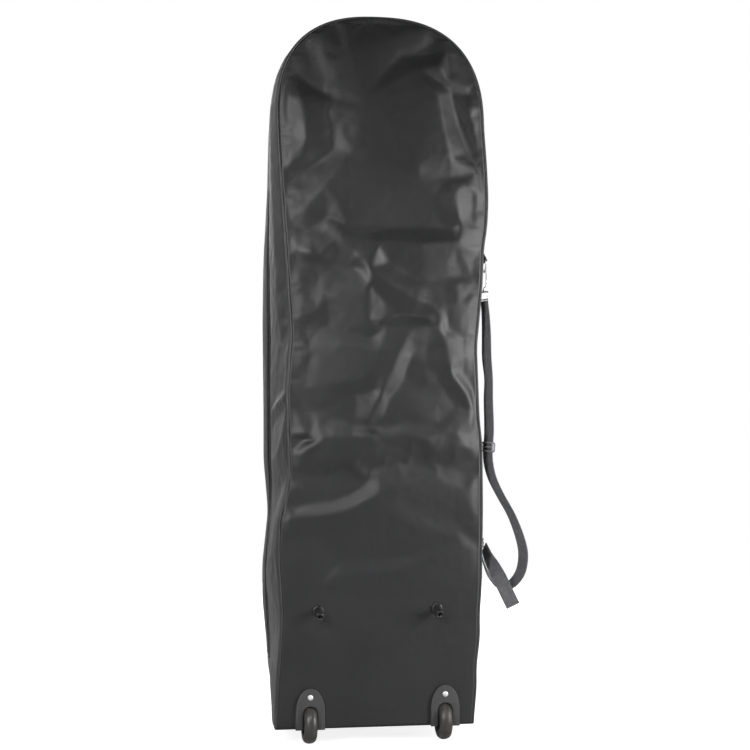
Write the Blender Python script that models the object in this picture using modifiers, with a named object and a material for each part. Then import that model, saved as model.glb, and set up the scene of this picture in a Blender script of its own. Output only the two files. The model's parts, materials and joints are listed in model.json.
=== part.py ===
"""A wheeled golf travel case: a soft, arch-topped cover that stands on two wheels and two feet.

Its zipped front flap folds down from the kick panel. Metres, +Z up. The wheels and the
plain back face -Y, the flap faces +Y, and the origin is on the floor under the middle.
"""

import math

import bmesh
import bpy
from mathutils import Matrix, Vector

# Driving dimensions of the whole case
HEIGHT = 1.270
HALF_WIDTH = 0.185
DEPTH = 0.280
BACK_Y = -0.136
FRONT_Y = BACK_Y + DEPTH
BASE_Z = 0.026
SPRING_Z = 1.080
ARCH_POWER = 2.2
ARCH_STEPS = 26
FABRIC = 0.0025
GAP = 0.0003

# Seams, zip and flap
PIPING_RADIUS = 0.0022
PANEL_INSET = 0.0050
KICK_TOP = 0.120
KICK_CORNER_RADIUS = 0.012
FLAP_BOTTOM = 0.1225
ZIP_FROM_FRONT = 0.075
ZIP_Y = FRONT_Y - ZIP_FROM_FRONT
TAPE_WIDTH = 0.0162
TAPE_THICKNESS = 0.0018
ZIP_GAP = 0.0020
PANEL_BOTTOM = BASE_Z + FABRIC + 0.0005

# Stiffening boards and padding
BOARD = 0.0030
BACK_BOARD_TOP = 0.420
BOARD_HALF_WIDTH = 0.174
PADDING = 0.0080
PADDING_BOTTOM = 1.080
PADDING_STEPS = 20
PADDING_BACK_Y = BACK_Y + 0.006
PADDING_FRONT_Y = ZIP_Y - 0.022

# Wheels and their housings
WHEEL_RADIUS = 0.034
WHEEL_HALF_WIDTH = 0.0115
WHEEL_X = 0.1195
WHEEL_Y = BACK_Y + 0.014
HUB_RADIUS = 0.0205
AXLE_RADIUS = 0.0030
WELL_RADIUS = 0.041
WELL_HALF_WIDTH = 0.0158
CAVITY_RADIUS = 0.037
CAVITY_HALF_WIDTH = 0.0128
TAB_HALF_WIDTH = 0.0255
TAB_TOP = 0.098
TAB_SHOULDER = 0.056
TAB_THICKNESS = 0.0030
RIVET_Z = 0.0825
RIVET_RADIUS = 0.00525
RIVET_SHANK = 0.0020
NOTCH_CLEARANCE = 0.0007

# Bumper pegs
PEG_X = 0.1055
PEG_Z = 0.2325
PEG_DROOP = math.radians(20)
PEG_SHANK_RADIUS = 0.00525
PEG_HEAD_RADIUS = 0.0078
PEG_HOLE = 0.0045
PEG_FLANGE_RADIUS = 0.0100
PEG_FLANGE = 0.0024

# Feet
FOOT_X = 0.120
FOOT_Y = FRONT_Y - 0.035
FOOT_HALF_LENGTH = 0.022
FOOT_HALF_DEPTH = 0.015
SCREW_RADIUS = 0.0020
SCREW_HOLE = 0.0023

# Shoe pocket and tow handle on the flap
POCKET_HALF_WIDTH = 0.135
POCKET_BOTTOM = 0.200
POCKET_TOP = 0.600
POCKET_THICKNESS = 0.004
POCKET_ZIP_Z = 0.560
POCKET_CORNER_RADIUS = 0.030
POCKET_TAPE_HALF_WIDTH = 0.015
HANDLE_HALF_WIDTH = 0.060
HANDLE_RADIUS = 0.0050
HANDLE_Z = 1.120
HANDLE_DROP = 0.050
HANDLE_Y = FRONT_Y + 0.0085
HANDLE_CORNER_RADIUS = 0.016
HANDLE_TAB_HALF_WIDTH = 0.008

# Zip sliders on the right-hand side
LOWER_SLIDER_Z = 0.600
UPPER_SLIDER_Z = 0.626
SLIDER_HALF_LENGTH = 0.0095
PULL_PIVOT = 0.0050
PULL_LENGTH = 0.0215

# Carrying strap and its metalwork on the right-hand side
WEBBING_WIDTH = 0.025
WEBBING = 0.0020
RING_X = HALF_WIDTH + 0.0090
RING_Y = -0.120
RING_WIRE = 0.0015
RING_HALF_WIDTH = 0.0150
RING_DROP = 0.020
UPPER_RING_Z = 0.846
LOWER_RING_Y = -0.085
LOWER_RING_Z = 0.405
HOOK_HALF_WIDTH = 0.0043
GATE_RADIUS = 0.0012
RING_TAB_HALF_WIDTH = 0.0115
RING_TAB_HEIGHT = 0.035
LOOP_HALF_WIDTH = 0.0145
LOOP_TURN = math.radians(-75)
LOOP_BOTTOM = 0.048

# The strap's route from the upper hook to the lower one, with how far its width is
# turned from the Y axis, in degrees. The part below z = 0.5 swings out in a slack loop.
STRAP_ROUTE = (
    (0.1944, -0.1200, 0.7755, -15),
    (0.1968, -0.1205, 0.7450, -20),
    (0.1978, -0.1210, 0.7130, -25),
    (0.1983, -0.1215, 0.6750, -27),
    (0.2013, -0.1225, 0.6380, -22),
    (0.2010, -0.1225, 0.6000, -26),
    (0.2023, -0.1220, 0.5600, -28),
    (0.2023, -0.1210, 0.5350, -28),
    (0.2008, -0.1205, 0.5160, -28),
    (0.2013, -0.1205, 0.4900, -28),
    (0.2078, -0.1215, 0.4620, -24),
    (0.2218, -0.1230, 0.4320, -20),
    (0.2418, -0.1250, 0.3960, -20),
    (0.2568, -0.1260, 0.3580, -24),
    (0.2638, -0.1260, 0.3250, -28),
    (0.2588, -0.1255, 0.2930, -28),
    (0.2423, -0.1245, 0.2720, -26),
    (0.2218, -0.1230, 0.2690, -24),
    (0.2060, -0.1130, 0.2850, -20),
    (0.1975, -0.0990, 0.3100, -15),
    (0.1946, -0.0850, 0.3335, -15),
)
TAIL_ROUTE = (
    (0.2015, -0.0890, 0.3360, -12),
    (0.2048, -0.1040, 0.3190, -30),
    (0.2098, -0.1240, 0.3040, -55),
    (0.2160, -0.1390, 0.2880, -72),
    (0.2255, -0.1460, 0.2660, -80),
    (0.2400, -0.1480, 0.2360, -82),
)
STRAP_SLIDER_INDEX = 8

# Straps inside the case, round the golf bag
LOWER_CINCH_Z = 0.500
UPPER_CINCH_Z = 0.900
CINCH_INSET = 0.012
BUCKLE_HALF_WIDTH = 0.022
BUCKLE_HALF_HEIGHT = 0.016
BUCKLE_THICKNESS = 0.007


def clear_scene():
    for obj in list(bpy.data.objects):
        bpy.data.objects.remove(obj, do_unlink=True)


def new_collection(name):
    collection = bpy.data.collections.new(name)
    bpy.context.scene.collection.children.link(collection)
    return collection


clear_scene()
PARTS = new_collection("golf_travel_case")
CUTTERS = new_collection("cutters")


def make_material(name, colour, roughness, metallic=0.0):
    material = bpy.data.materials.new(name)
    material.use_nodes = True
    shader = material.node_tree.nodes["Principled BSDF"]
    shader.inputs["Base Color"].default_value = (*colour, 1.0)
    shader.inputs["Roughness"].default_value = roughness
    shader.inputs["Metallic"].default_value = metallic
    return material


# ---------------------------------------------------------------- shape helpers


def add_object(name, data, material=None):
    """Links a new object. One without a material is a cutter, which is never shown."""
    obj = bpy.data.objects.new(name, data)
    if material is None:
        CUTTERS.objects.link(obj)
        obj.hide_render = True
        obj.display_type = "WIRE"
    else:
        PARTS.objects.link(obj)
        data.materials.append(material)
    return obj


def from_bmesh(name, shape, material=None):
    bmesh.ops.recalc_face_normals(shape, faces=shape.faces)
    mesh = bpy.data.meshes.new(name)
    shape.to_mesh(mesh)
    shape.free()
    return add_object(name, mesh, material)


def box(name, low, high, material=None, turn=None):
    """A block between two corners, turned by a matrix where it isn't square to the axes."""
    shape = bmesh.new()
    size = [b - a for a, b in zip(low, high)]
    middle = [(a + b) / 2 for a, b in zip(low, high)]
    bmesh.ops.create_cube(shape, size=1.0)
    bmesh.ops.scale(shape, vec=size, verts=shape.verts)
    bmesh.ops.translate(shape, vec=middle, verts=shape.verts)
    if turn is not None:
        bmesh.ops.transform(shape, matrix=turn, verts=shape.verts)
    return from_bmesh(name, shape, material)


def towards(start, axis):
    """The matrix that stands +Z along an axis, at a point."""
    turn = Vector(axis).to_track_quat("Z", "Y").to_matrix().to_4x4()
    return Matrix.Translation(start) @ turn


def cylinder(name, radius, start, end, material=None, segments=24):
    start, end = Vector(start), Vector(end)
    shape = bmesh.new()
    length = (end - start).length
    bmesh.ops.create_cone(
        shape, cap_ends=True, segments=segments, radius1=radius, radius2=radius, depth=length
    )
    matrix = towards((start + end) / 2, end - start)
    bmesh.ops.transform(shape, matrix=matrix, verts=shape.verts)
    for face in shape.faces:
        face.smooth = len(face.verts) == 4
    return from_bmesh(name, shape, material)


def turned(name, profile, start, axis, material=None, steps=28):
    """A profile of (radius, height) points turned round an axis. The points run down the
    outer side from the top. A profile that doesn't end on the axis is a ring."""
    shape = bmesh.new()
    points = [shape.verts.new((radius, 0, height)) for radius, height in profile]
    for one, other in zip(points, points[1:]):
        shape.edges.new((one, other))
    if profile[0][0] > 0:
        shape.edges.new((points[-1], points[0]))
    mesh = bpy.data.meshes.new(name)
    shape.to_mesh(mesh)
    shape.free()
    obj = add_object(name, mesh, material)
    obj.matrix_world = towards(start, axis)
    screw = obj.modifiers.new("turn", "SCREW")
    screw.axis = "Z"
    screw.steps = steps
    screw.render_steps = steps
    screw.use_merge_vertices = True
    screw.merge_threshold = 0.00001
    screw.use_smooth_shade = True
    return obj


def plate(name, outline, holes, thickness, middle, across, material):
    """A flat outline with round holes, cut from sheet. It stands in XZ, or lies in XY."""
    curve = bpy.data.curves.new(name, "CURVE")
    curve.dimensions = "2D"
    curve.fill_mode = "BOTH"
    curve.extrude = thickness / 2
    rings = [outline]
    for x, y, radius in holes:
        angles = [2 * math.pi * i / 20 for i in range(20)]
        rings.append([(x + radius * math.cos(a), y + radius * math.sin(a)) for a in angles])
    for ring in rings:
        spline = curve.splines.new("POLY")
        spline.points.add(len(ring) - 1)
        for point, (x, y) in zip(spline.points, ring):
            point.co = (x, y, 0, 1)
        spline.use_cyclic_u = True
    obj = add_object(name, curve, material)
    if across == "Y":
        turn = Matrix.Rotation(math.pi / 2, 4, "X")
        obj.matrix_world = Matrix.Translation((0, middle, 0)) @ turn
    else:
        obj.matrix_world = Matrix.Translation((0, 0, middle))
    return obj


def as_mesh(obj):
    """The same piece as a mesh, with a curve's loose caps joined on."""
    bpy.context.view_layer.update()
    graph = bpy.context.evaluated_depsgraph_get()
    mesh = bpy.data.meshes.new_from_object(obj.evaluated_get(graph))
    shape = bmesh.new()
    shape.from_mesh(mesh)
    bmesh.ops.remove_doubles(shape, verts=shape.verts, dist=0.00001)
    bmesh.ops.recalc_face_normals(shape, faces=shape.faces)
    shape.to_mesh(mesh)
    shape.free()
    name, place, shown = obj.name, obj.matrix_world.copy(), not obj.hide_render
    bpy.data.objects.remove(obj, do_unlink=True)
    material = mesh.materials[0] if shown else None
    mesh.materials.clear()
    copy = add_object(name, mesh, material)
    copy.matrix_world = place
    return copy


def strip(name, path, low_y, high_y, thickness, material):
    """A band of cloth or foam of even thickness that follows a path in XZ."""
    shape = bmesh.new()
    points = [shape.verts.new((x, low_y, z)) for x, z in path]
    edges = [shape.edges.new(pair) for pair in zip(points, points[1:])]
    made = bmesh.ops.extrude_edge_only(shape, edges=edges)
    moved = [part for part in made["geom"] if isinstance(part, bmesh.types.BMVert)]
    bmesh.ops.translate(shape, vec=(0, high_y - low_y, 0), verts=moved)
    obj = from_bmesh(name, shape, material)
    thicken(obj, thickness)
    return obj


def thicken(obj, thickness):
    solidify = obj.modifiers.new("thickness", "SOLIDIFY")
    solidify.thickness = thickness
    solidify.offset = 0
    solidify.use_even_offset = True


def band(name, route, width, thickness, material):
    """Webbing that follows a route of (x, y, z, turn) points, turned about its own length."""
    shape = bmesh.new()
    points = [Vector(step[:3]) for step in route]
    last = None
    for i, step in enumerate(route):
        ahead = points[min(i + 1, len(points) - 1)] - points[max(i - 1, 0)]
        sideways = ahead.cross(Vector((0, 1, 0))).normalized()
        flat = sideways.cross(ahead).normalized()
        turn = math.radians(step[3])
        across = (flat * math.cos(turn) + sideways * math.sin(turn)) * width / 2
        pair = [shape.verts.new(points[i] - across), shape.verts.new(points[i] + across)]
        if last:
            shape.faces.new((last[0], last[1], pair[1], pair[0]))
        last = pair
    obj = from_bmesh(name, shape, material)
    thicken(obj, thickness)
    return obj


def tube(name, points, radius, material, closed=False, resolution=1):
    curve = bpy.data.curves.new(name, "CURVE")
    curve.dimensions = "3D"
    curve.bevel_depth = radius
    curve.bevel_resolution = resolution
    curve.use_fill_caps = True
    spline = curve.splines.new("POLY")
    spline.points.add(len(points) - 1)
    for point, place in zip(spline.points, points):
        point.co = (*place, 1)
    spline.use_cyclic_u = closed
    return add_object(name, curve, material)


def combine(obj, others, operation):
    for other in others:
        boolean = obj.modifiers.new(other.name, "BOOLEAN")
        boolean.operation = operation
        boolean.object = other
    return obj


def arc(centre_x, centre_z, radius, start, end, steps):
    """Points round part of a circle, between two angles in degrees."""
    angles = [math.radians(start + (end - start) * i / steps) for i in range(steps + 1)]
    return [(centre_x + radius * math.cos(a), centre_z + radius * math.sin(a)) for a in angles]


def case_path(inset, bottom, steps=ARCH_STEPS):
    """Up the right side, over the arch and down the left, that far inside the outer face."""
    half, rise = HALF_WIDTH - inset, HEIGHT - SPRING_Z - inset
    path = [(half, bottom)]
    for i in range(steps + 1):
        angle = math.pi * i / steps
        x = half * math.copysign(abs(math.cos(angle)) ** (2 / ARCH_POWER), math.cos(angle))
        z = SPRING_Z + rise * abs(math.sin(angle)) ** (2 / ARCH_POWER)
        path.append((x, z))
    path.append((-half, bottom))
    return path


def notched_edge(left, right, low, high):
    """The lower edge of a panel, from right to left, with a notch over each wheel well."""
    half = WELL_HALF_WIDTH + NOTCH_CLEARANCE
    edge = []
    for x in (-WHEEL_X, WHEEL_X):
        edge += [(x - half, low), (x - half, high), (x + half, high), (x + half, low)]
    return [(left, low)] + edge + [(right, low)]


# ---------------------------------------------------------------- fabric shell


def make_shell(fabric, lining, trim, tape):
    notch_top = WHEEL_RADIUS + WELL_RADIUS + NOTCH_CLEARANCE
    holes = [(side * PEG_X, PEG_Z, PEG_HOLE) for side in (-1, 1)]
    holes += [(side * WHEEL_X, RIVET_Z, SCREW_HOLE) for side in (-1, 1)]

    outline = case_path(PANEL_INSET, PANEL_BOTTOM)[1:-1]
    half = HALF_WIDTH - PANEL_INSET
    outline += notched_edge(-half, half, PANEL_BOTTOM, notch_top)
    middle = BACK_Y + FABRIC / 2
    plate("back_panel", outline, holes, FABRIC, middle, "Y", fabric)

    board = [(BOARD_HALF_WIDTH, BACK_BOARD_TOP), (-BOARD_HALF_WIDTH, BACK_BOARD_TOP)]
    board += notched_edge(
        -BOARD_HALF_WIDTH, BOARD_HALF_WIDTH, PANEL_BOTTOM + BOARD + 2 * GAP, notch_top
    )
    middle = BACK_Y + FABRIC + GAP + BOARD / 2
    plate("back_board", board, holes, BOARD, middle, "Y", lining)

    screws = [(side * FOOT_X, FOOT_Y, SCREW_HOLE) for side in (-1, 1)]
    well_end = WHEEL_Y + WELL_RADIUS + NOTCH_CLEARANCE
    base = [(HALF_WIDTH, FRONT_Y), (-HALF_WIDTH, FRONT_Y)]
    base += notched_edge(-HALF_WIDTH, HALF_WIDTH, BACK_Y, well_end)
    plate("base_panel", base, screws, FABRIC, BASE_Z + FABRIC / 2, "Z", fabric)

    board_back = BACK_Y + FABRIC + BOARD + 3 * GAP
    base = [(BOARD_HALF_WIDTH, FRONT_Y - 0.005), (-BOARD_HALF_WIDTH, FRONT_Y - 0.005)]
    base += notched_edge(-BOARD_HALF_WIDTH, BOARD_HALF_WIDTH, board_back, well_end)
    plate("base_board", base, screws, BOARD, PANEL_BOTTOM + BOARD / 2, "Z", lining)

    seam = TAPE_WIDTH + ZIP_GAP / 2 + GAP
    strip(
        "gusset",
        case_path(FABRIC / 2, PANEL_BOTTOM),
        BACK_Y + PANEL_INSET,
        ZIP_Y - seam,
        FABRIC,
        fabric,
    )
    for name, low, high, bottom in (
        ("zip_tape_case", -seam + GAP, -ZIP_GAP / 2, FLAP_BOTTOM),
        ("zip_tape_flap", ZIP_GAP / 2, seam - GAP, FLAP_BOTTOM),
    ):
        path = case_path(TAPE_THICKNESS / 2 + GAP, bottom)
        strip(name, path, ZIP_Y + low, ZIP_Y + high, TAPE_THICKNESS, tape)

    path = case_path(PIPING_RADIUS + GAP, PANEL_BOTTOM)
    y = BACK_Y + PIPING_RADIUS
    tube("back_piping", [(x, y, z) for x, z in path], PIPING_RADIUS, trim)

    make_kick_panel(fabric, ZIP_Y - seam + GAP)
    path = case_path(FABRIC + GAP + PADDING / 2, PADDING_BOTTOM, PADDING_STEPS)[1:-1]
    strip("top_padding", path, PADDING_BACK_Y, PADDING_FRONT_Y, PADDING, lining)


def make_kick_panel(fabric, side_start):
    """The low front wall, with a return along each side as far as the zip."""
    half, front, radius = HALF_WIDTH - FABRIC / 2, FRONT_Y - FABRIC / 2, KICK_CORNER_RADIUS
    path = [(half, side_start)]
    path += arc(half - radius, front - radius, radius, 0, 90, 6)
    path += arc(-half + radius, front - radius, radius, 90, 180, 6)
    path += [(-half, side_start)]
    shape = bmesh.new()
    points = [shape.verts.new((x, y, PANEL_BOTTOM)) for x, y in path]
    edges = [shape.edges.new(pair) for pair in zip(points, points[1:])]
    made = bmesh.ops.extrude_edge_only(shape, edges=edges)
    moved = [part for part in made["geom"] if isinstance(part, bmesh.types.BMVert)]
    bmesh.ops.translate(shape, vec=(0, 0, KICK_TOP - PANEL_BOTTOM), verts=moved)
    thicken(from_bmesh("kick_panel", shape, fabric), FABRIC)


# ---------------------------------------------------------------- wheels


def make_wheel(side, word, plastic, rubber, metal):
    """A moulded housing with its rivet and axle, and the wheel that turns in it."""
    x = side * WHEEL_X
    turns = [math.pi * i / 18 for i in range(19)]
    rise = TAB_TOP - TAB_SHOULDER
    tab = [(x + TAB_HALF_WIDTH * math.cos(a), TAB_SHOULDER + rise * math.sin(a)) for a in turns]
    tab += [(x - TAB_HALF_WIDTH, BASE_Z), (x + TAB_HALF_WIDTH, BASE_Z)]
    hole = [(x, RIVET_Z, SCREW_HOLE)]
    middle = BACK_Y - GAP - TAB_THICKNESS / 2
    housing = as_mesh(
        plate(f"wheel_housing_{word}", tab, hole, TAB_THICKNESS, middle, "Y", plastic)
    )
    left = (x - WELL_HALF_WIDTH, WHEEL_Y, WHEEL_RADIUS)
    right = (x + WELL_HALF_WIDTH, WHEEL_Y, WHEEL_RADIUS)
    well = cylinder(f"well_{word}", WELL_RADIUS, left, right, segments=36)
    inside = box(
        f"well_limit_{word}",
        (x - 0.03, BACK_Y - GAP - TAB_THICKNESS / 2, BASE_Z + 0.0004),
        (x + 0.03, BACK_Y + 0.1, 0.1),
    )
    combine(well, [inside], "INTERSECT")
    cavity = cylinder(
        f"wheel_space_{word}",
        CAVITY_RADIUS,
        (x - CAVITY_HALF_WIDTH, WHEEL_Y, WHEEL_RADIUS),
        (x + CAVITY_HALF_WIDTH, WHEEL_Y, WHEEL_RADIUS),
        segments=36,
    )
    bore = cylinder(
        f"axle_hole_{word}",
        AXLE_RADIUS + GAP,
        (x - 0.03, WHEEL_Y, WHEEL_RADIUS),
        (x + 0.03, WHEEL_Y, WHEEL_RADIUS),
        segments=16,
    )
    combine(housing, [well], "UNION")
    combine(housing, [cavity, bore], "DIFFERENCE")

    cylinder(f"wheel_axle_{word}", AXLE_RADIUS, left, right, metal, segments=16)
    outer = GAP + TAB_THICKNESS + GAP
    inner = FABRIC + GAP + BOARD + GAP
    rivet = [
        (0, outer + 0.0024),
        (0.0022, outer + 0.0021),
        (0.0040, outer + 0.0013),
        (RIVET_RADIUS, outer + 0.0003),
        (RIVET_RADIUS, outer),
        (RIVET_SHANK, outer),
        (RIVET_SHANK, -inner),
        (0.0045, -inner),
        (0.0045, -inner - 0.0010),
        (0, -inner - 0.0010),
    ]
    turned(f"housing_rivet_{word}", rivet, (x, BACK_Y, RIVET_Z), (0, -1, 0), metal, 16)
    make_tyre_and_hub(x, word, plastic, rubber)


def make_tyre_and_hub(x, word, plastic, rubber):
    """The wheel lies on its side in its own frame, with its axle along the turning axis."""
    half = WHEEL_HALF_WIDTH
    inner = HUB_RADIUS + GAP
    crown = [(WHEEL_RADIUS * 0.80, half)]
    for i in range(7):
        angle = math.radians(75 - 150 * i / 6)
        bulge = WHEEL_RADIUS - half * 0.75
        crown.append((bulge + half * 0.75 * math.cos(angle), half * 0.97 * math.sin(angle)))
    crown.append((WHEEL_RADIUS * 0.80, -half))
    tyre = [(inner, half)] + crown + [(inner, -half)]
    centre = (x, WHEEL_Y, WHEEL_RADIUS)
    turned(f"tyre_{word}", tyre, centre, (1, 0, 0), rubber, 32)
    bore = AXLE_RADIUS + GAP
    hub = [
        (bore, half + 0.0005),
        (0.0080, half + 0.0005),
        (0.0080, 0.0050),
        (0.0170, 0.0045),
        (0.0175, half - 0.0010),
        (HUB_RADIUS, half - 0.0010),
        (HUB_RADIUS, -half + 0.0010),
        (0.0175, -half + 0.0010),
        (0.0170, -0.0045),
        (0.0080, -0.0050),
        (0.0080, -half - 0.0005),
        (bore, -half - 0.0005),
    ]
    turned(f"wheel_hub_{word}", hub, centre, (1, 0, 0), plastic, 24)


# ---------------------------------------------------------------- pegs and feet


def make_peg(side, word, plastic, metal):
    """A bobbin-shaped bumper that droops from a flange, held by a screw from inside."""
    x = side * PEG_X
    root = Vector((x, BACK_Y, PEG_Z))
    flange = cylinder(
        f"bumper_peg_{word}",
        PEG_FLANGE_RADIUS,
        root + Vector((0, -PEG_FLANGE, 0)),
        root + Vector((0, -GAP, 0)),
        plastic,
        segments=28,
    )
    spigot = cylinder(
        f"peg_spigot_{word}",
        PEG_HOLE - GAP,
        root + Vector((0, -0.0010, 0)),
        root + Vector((0, FABRIC + BOARD, 0)),
        segments=20,
    )
    bobbin = [
        (0, 0.0180),
        (0.0035, 0.0180),
        (0.0035, 0.0235),
        (0.0066, 0.0240),
        (PEG_HEAD_RADIUS, 0.0228),
        (PEG_HEAD_RADIUS, 0.0150),
        (0.0068, 0.0136),
        (PEG_SHANK_RADIUS, 0.0130),
        (PEG_SHANK_RADIUS, 0),
        (0, 0),
    ]
    axis = (0, -math.cos(PEG_DROOP), -math.sin(PEG_DROOP))
    outside = root + Vector((0, -PEG_FLANGE, 0))
    stem = turned(f"peg_bobbin_{word}", bobbin, outside, axis, None, 20)
    bore = cylinder(
        f"peg_bore_{word}",
        SCREW_HOLE,
        root + Vector((0, -0.0020, 0)),
        root + Vector((0, 0.02, 0)),
        segments=16,
    )
    combine(flange, [spigot, stem], "UNION")
    combine(flange, [bore], "DIFFERENCE")
    seat = -(FABRIC + GAP + BOARD + GAP)
    screw = [
        (0, 0.0015),
        (SCREW_RADIUS, 0.0015),
        (SCREW_RADIUS, seat),
        (0.0085, seat),
        (0.0085, seat - 0.0012),
        (0.0045, seat - 0.0022),
        (0, seat - 0.0022),
    ]
    turned(f"peg_screw_{word}", screw, root, (0, -1, 0), metal, 16)


def make_foot(side, word, rubber, metal):
    x = side * FOOT_X
    top = BASE_Z - GAP
    wide, narrow = FOOT_HALF_LENGTH, FOOT_HALF_LENGTH - 0.006
    outline = [(x - wide, top), (x - wide, top - 0.008), (x - narrow, 0)]
    outline += [(x + narrow, 0), (x + wide, top - 0.008), (x + wide, top)]
    foot = as_mesh(
        plate(f"front_foot_{word}", outline, [], 2 * FOOT_HALF_DEPTH, FOOT_Y, "Y", rubber)
    )
    bore = cylinder(
        f"foot_bore_{word}", SCREW_HOLE, (x, FOOT_Y, 0.010), (x, FOOT_Y, 0.05), segments=16
    )
    combine(foot, [bore], "DIFFERENCE")
    seat = PANEL_BOTTOM + BOARD + GAP
    screw = [
        (0, seat + 0.0024),
        (0.0040, seat + 0.0020),
        (0.0060, seat + 0.0008),
        (0.0060, seat),
        (SCREW_RADIUS, seat),
        (SCREW_RADIUS, 0.0110),
        (0, 0.0110),
    ]
    turned(f"foot_screw_{word}", screw, (x, FOOT_Y, 0), (0, 0, 1), metal, 16)


# ---------------------------------------------------------------- front flap


def make_flap(fabric, lining, trim, tape, plastic, metal):
    outline = case_path(PANEL_INSET, FLAP_BOTTOM)
    plate("front_panel", outline, [], FABRIC, FRONT_Y - FABRIC / 2, "Y", fabric)
    seam = TAPE_WIDTH + ZIP_GAP / 2 + GAP
    strip(
        "flap_gusset",
        case_path(FABRIC / 2, FLAP_BOTTOM),
        ZIP_Y + seam,
        FRONT_Y - PANEL_INSET,
        FABRIC,
        fabric,
    )
    path = case_path(PIPING_RADIUS + GAP, FLAP_BOTTOM)
    y = FRONT_Y - PIPING_RADIUS
    tube("front_piping", [(x, y, z) for x, z in path], PIPING_RADIUS, trim)

    half, radius = POCKET_HALF_WIDTH, POCKET_CORNER_RADIUS
    outline = arc(half - radius, POCKET_TOP - radius, radius, 0, 90, 5)
    outline += arc(-half + radius, POCKET_TOP - radius, radius, 90, 180, 5)
    outline += [(-half, POCKET_BOTTOM), (half, POCKET_BOTTOM)]
    back = FRONT_Y + GAP
    plate(
        "shoe_pocket", outline, [], POCKET_THICKNESS, back + POCKET_THICKNESS / 2, "Y", fabric
    )
    top = back + POCKET_THICKNESS + GAP
    box(
        "pocket_zip_tape",
        (-half + 0.015, top, POCKET_ZIP_Z - POCKET_TAPE_HALF_WIDTH),
        (half - 0.015, top + 0.0012, POCKET_ZIP_Z + POCKET_TAPE_HALF_WIDTH),
        tape,
    )
    turn = Matrix(((0, 0, 1), (1, 0, 0), (0, 1, 0))).to_4x4()
    place = Matrix.Translation((half - 0.035, top + 0.0012, POCKET_ZIP_Z)) @ turn
    make_slider("pocket_zip", place, False, metal)
    make_tow_handle(plastic, fabric)


def make_tow_handle(plastic, fabric):
    """A bail that hangs from two sewn tabs and lifts away from the panel."""
    half, radius = HANDLE_HALF_WIDTH, HANDLE_CORNER_RADIUS
    low = HANDLE_Z - HANDLE_DROP
    path = [(half - 0.022, HANDLE_Z), (half - 0.012, HANDLE_Z)]
    path += arc(half - 0.008, HANDLE_Z - 0.008, 0.008, 90, 0, 4)
    path += arc(half - radius, low + radius, radius, 0, -90, 5)
    path += [(-x, z) for x, z in reversed(path)]
    points = [(x, HANDLE_Y, z) for x, z in path]
    tube("tow_handle", points, HANDLE_RADIUS, plastic, resolution=2)
    for side, word in ((-1, "left"), (1, "right")):
        middle = side * (half - 0.024)
        tab = box(
            f"handle_tab_{word}",
            (middle - HANDLE_TAB_HALF_WIDTH, FRONT_Y + GAP, HANDLE_Z - 0.008),
            (middle + HANDLE_TAB_HALF_WIDTH, HANDLE_Y + HANDLE_RADIUS + 0.0022, HANDLE_Z + 0.022),
            fabric,
        )
        hole = cylinder(
            f"handle_hole_{word}",
            HANDLE_RADIUS + 0.0004,
            (middle - 0.02, HANDLE_Y, HANDLE_Z),
            (middle + 0.02, HANDLE_Y, HANDLE_Z),
            segments=16,
        )
        combine(tab, [hole], "DIFFERENCE")


def make_slider(name, place, through, metal):
    """A zip slider and its pull. In its own frame +X leaves the cloth and Z runs along the
    chain. One that closes two tapes has an inner wing and a post between them."""
    long = SLIDER_HALF_LENGTH
    low, high = (0.0005, -0.0050, -long), (0.0022, 0.0050, long)
    wing = box(f"{name}_slider", low, high, metal, place)
    lug = box(f"{name}_lug", (0.0015, -0.0012, -0.0028), (0.0070, 0.0012, 0.0028), None, place)
    joined = [lug]
    if through:
        inner = (-0.0042, -0.0050, -long), (-0.0025, 0.0050, long)
        post = (-0.0035, -0.0006, -0.0030), (0.0015, 0.0006, 0.0030)
        joined.append(box(f"{name}_wing", *inner, None, place))
        joined.append(box(f"{name}_post", *post, None, place))
    combine(wing, joined, "UNION")
    tab = box(
        f"{name}_pull",
        (PULL_PIVOT - 0.0008, -0.0040, -PULL_LENGTH),
        (PULL_PIVOT + 0.0008, 0.0040, -0.0038),
        metal,
        place,
    )
    ears = []
    for side in (-1, 1):
        low, high = sorted((side * 0.0016, side * 0.0032))
        ear = (PULL_PIVOT - 0.0016, low, -0.0060), (PULL_PIVOT + 0.0016, high, 0.0016)
        ears.append(box(f"{name}_ear_{high > 0.002}", *ear, None, place))
    combine(tab, ears, "UNION")


# ---------------------------------------------------------------- strap and metalwork


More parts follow.
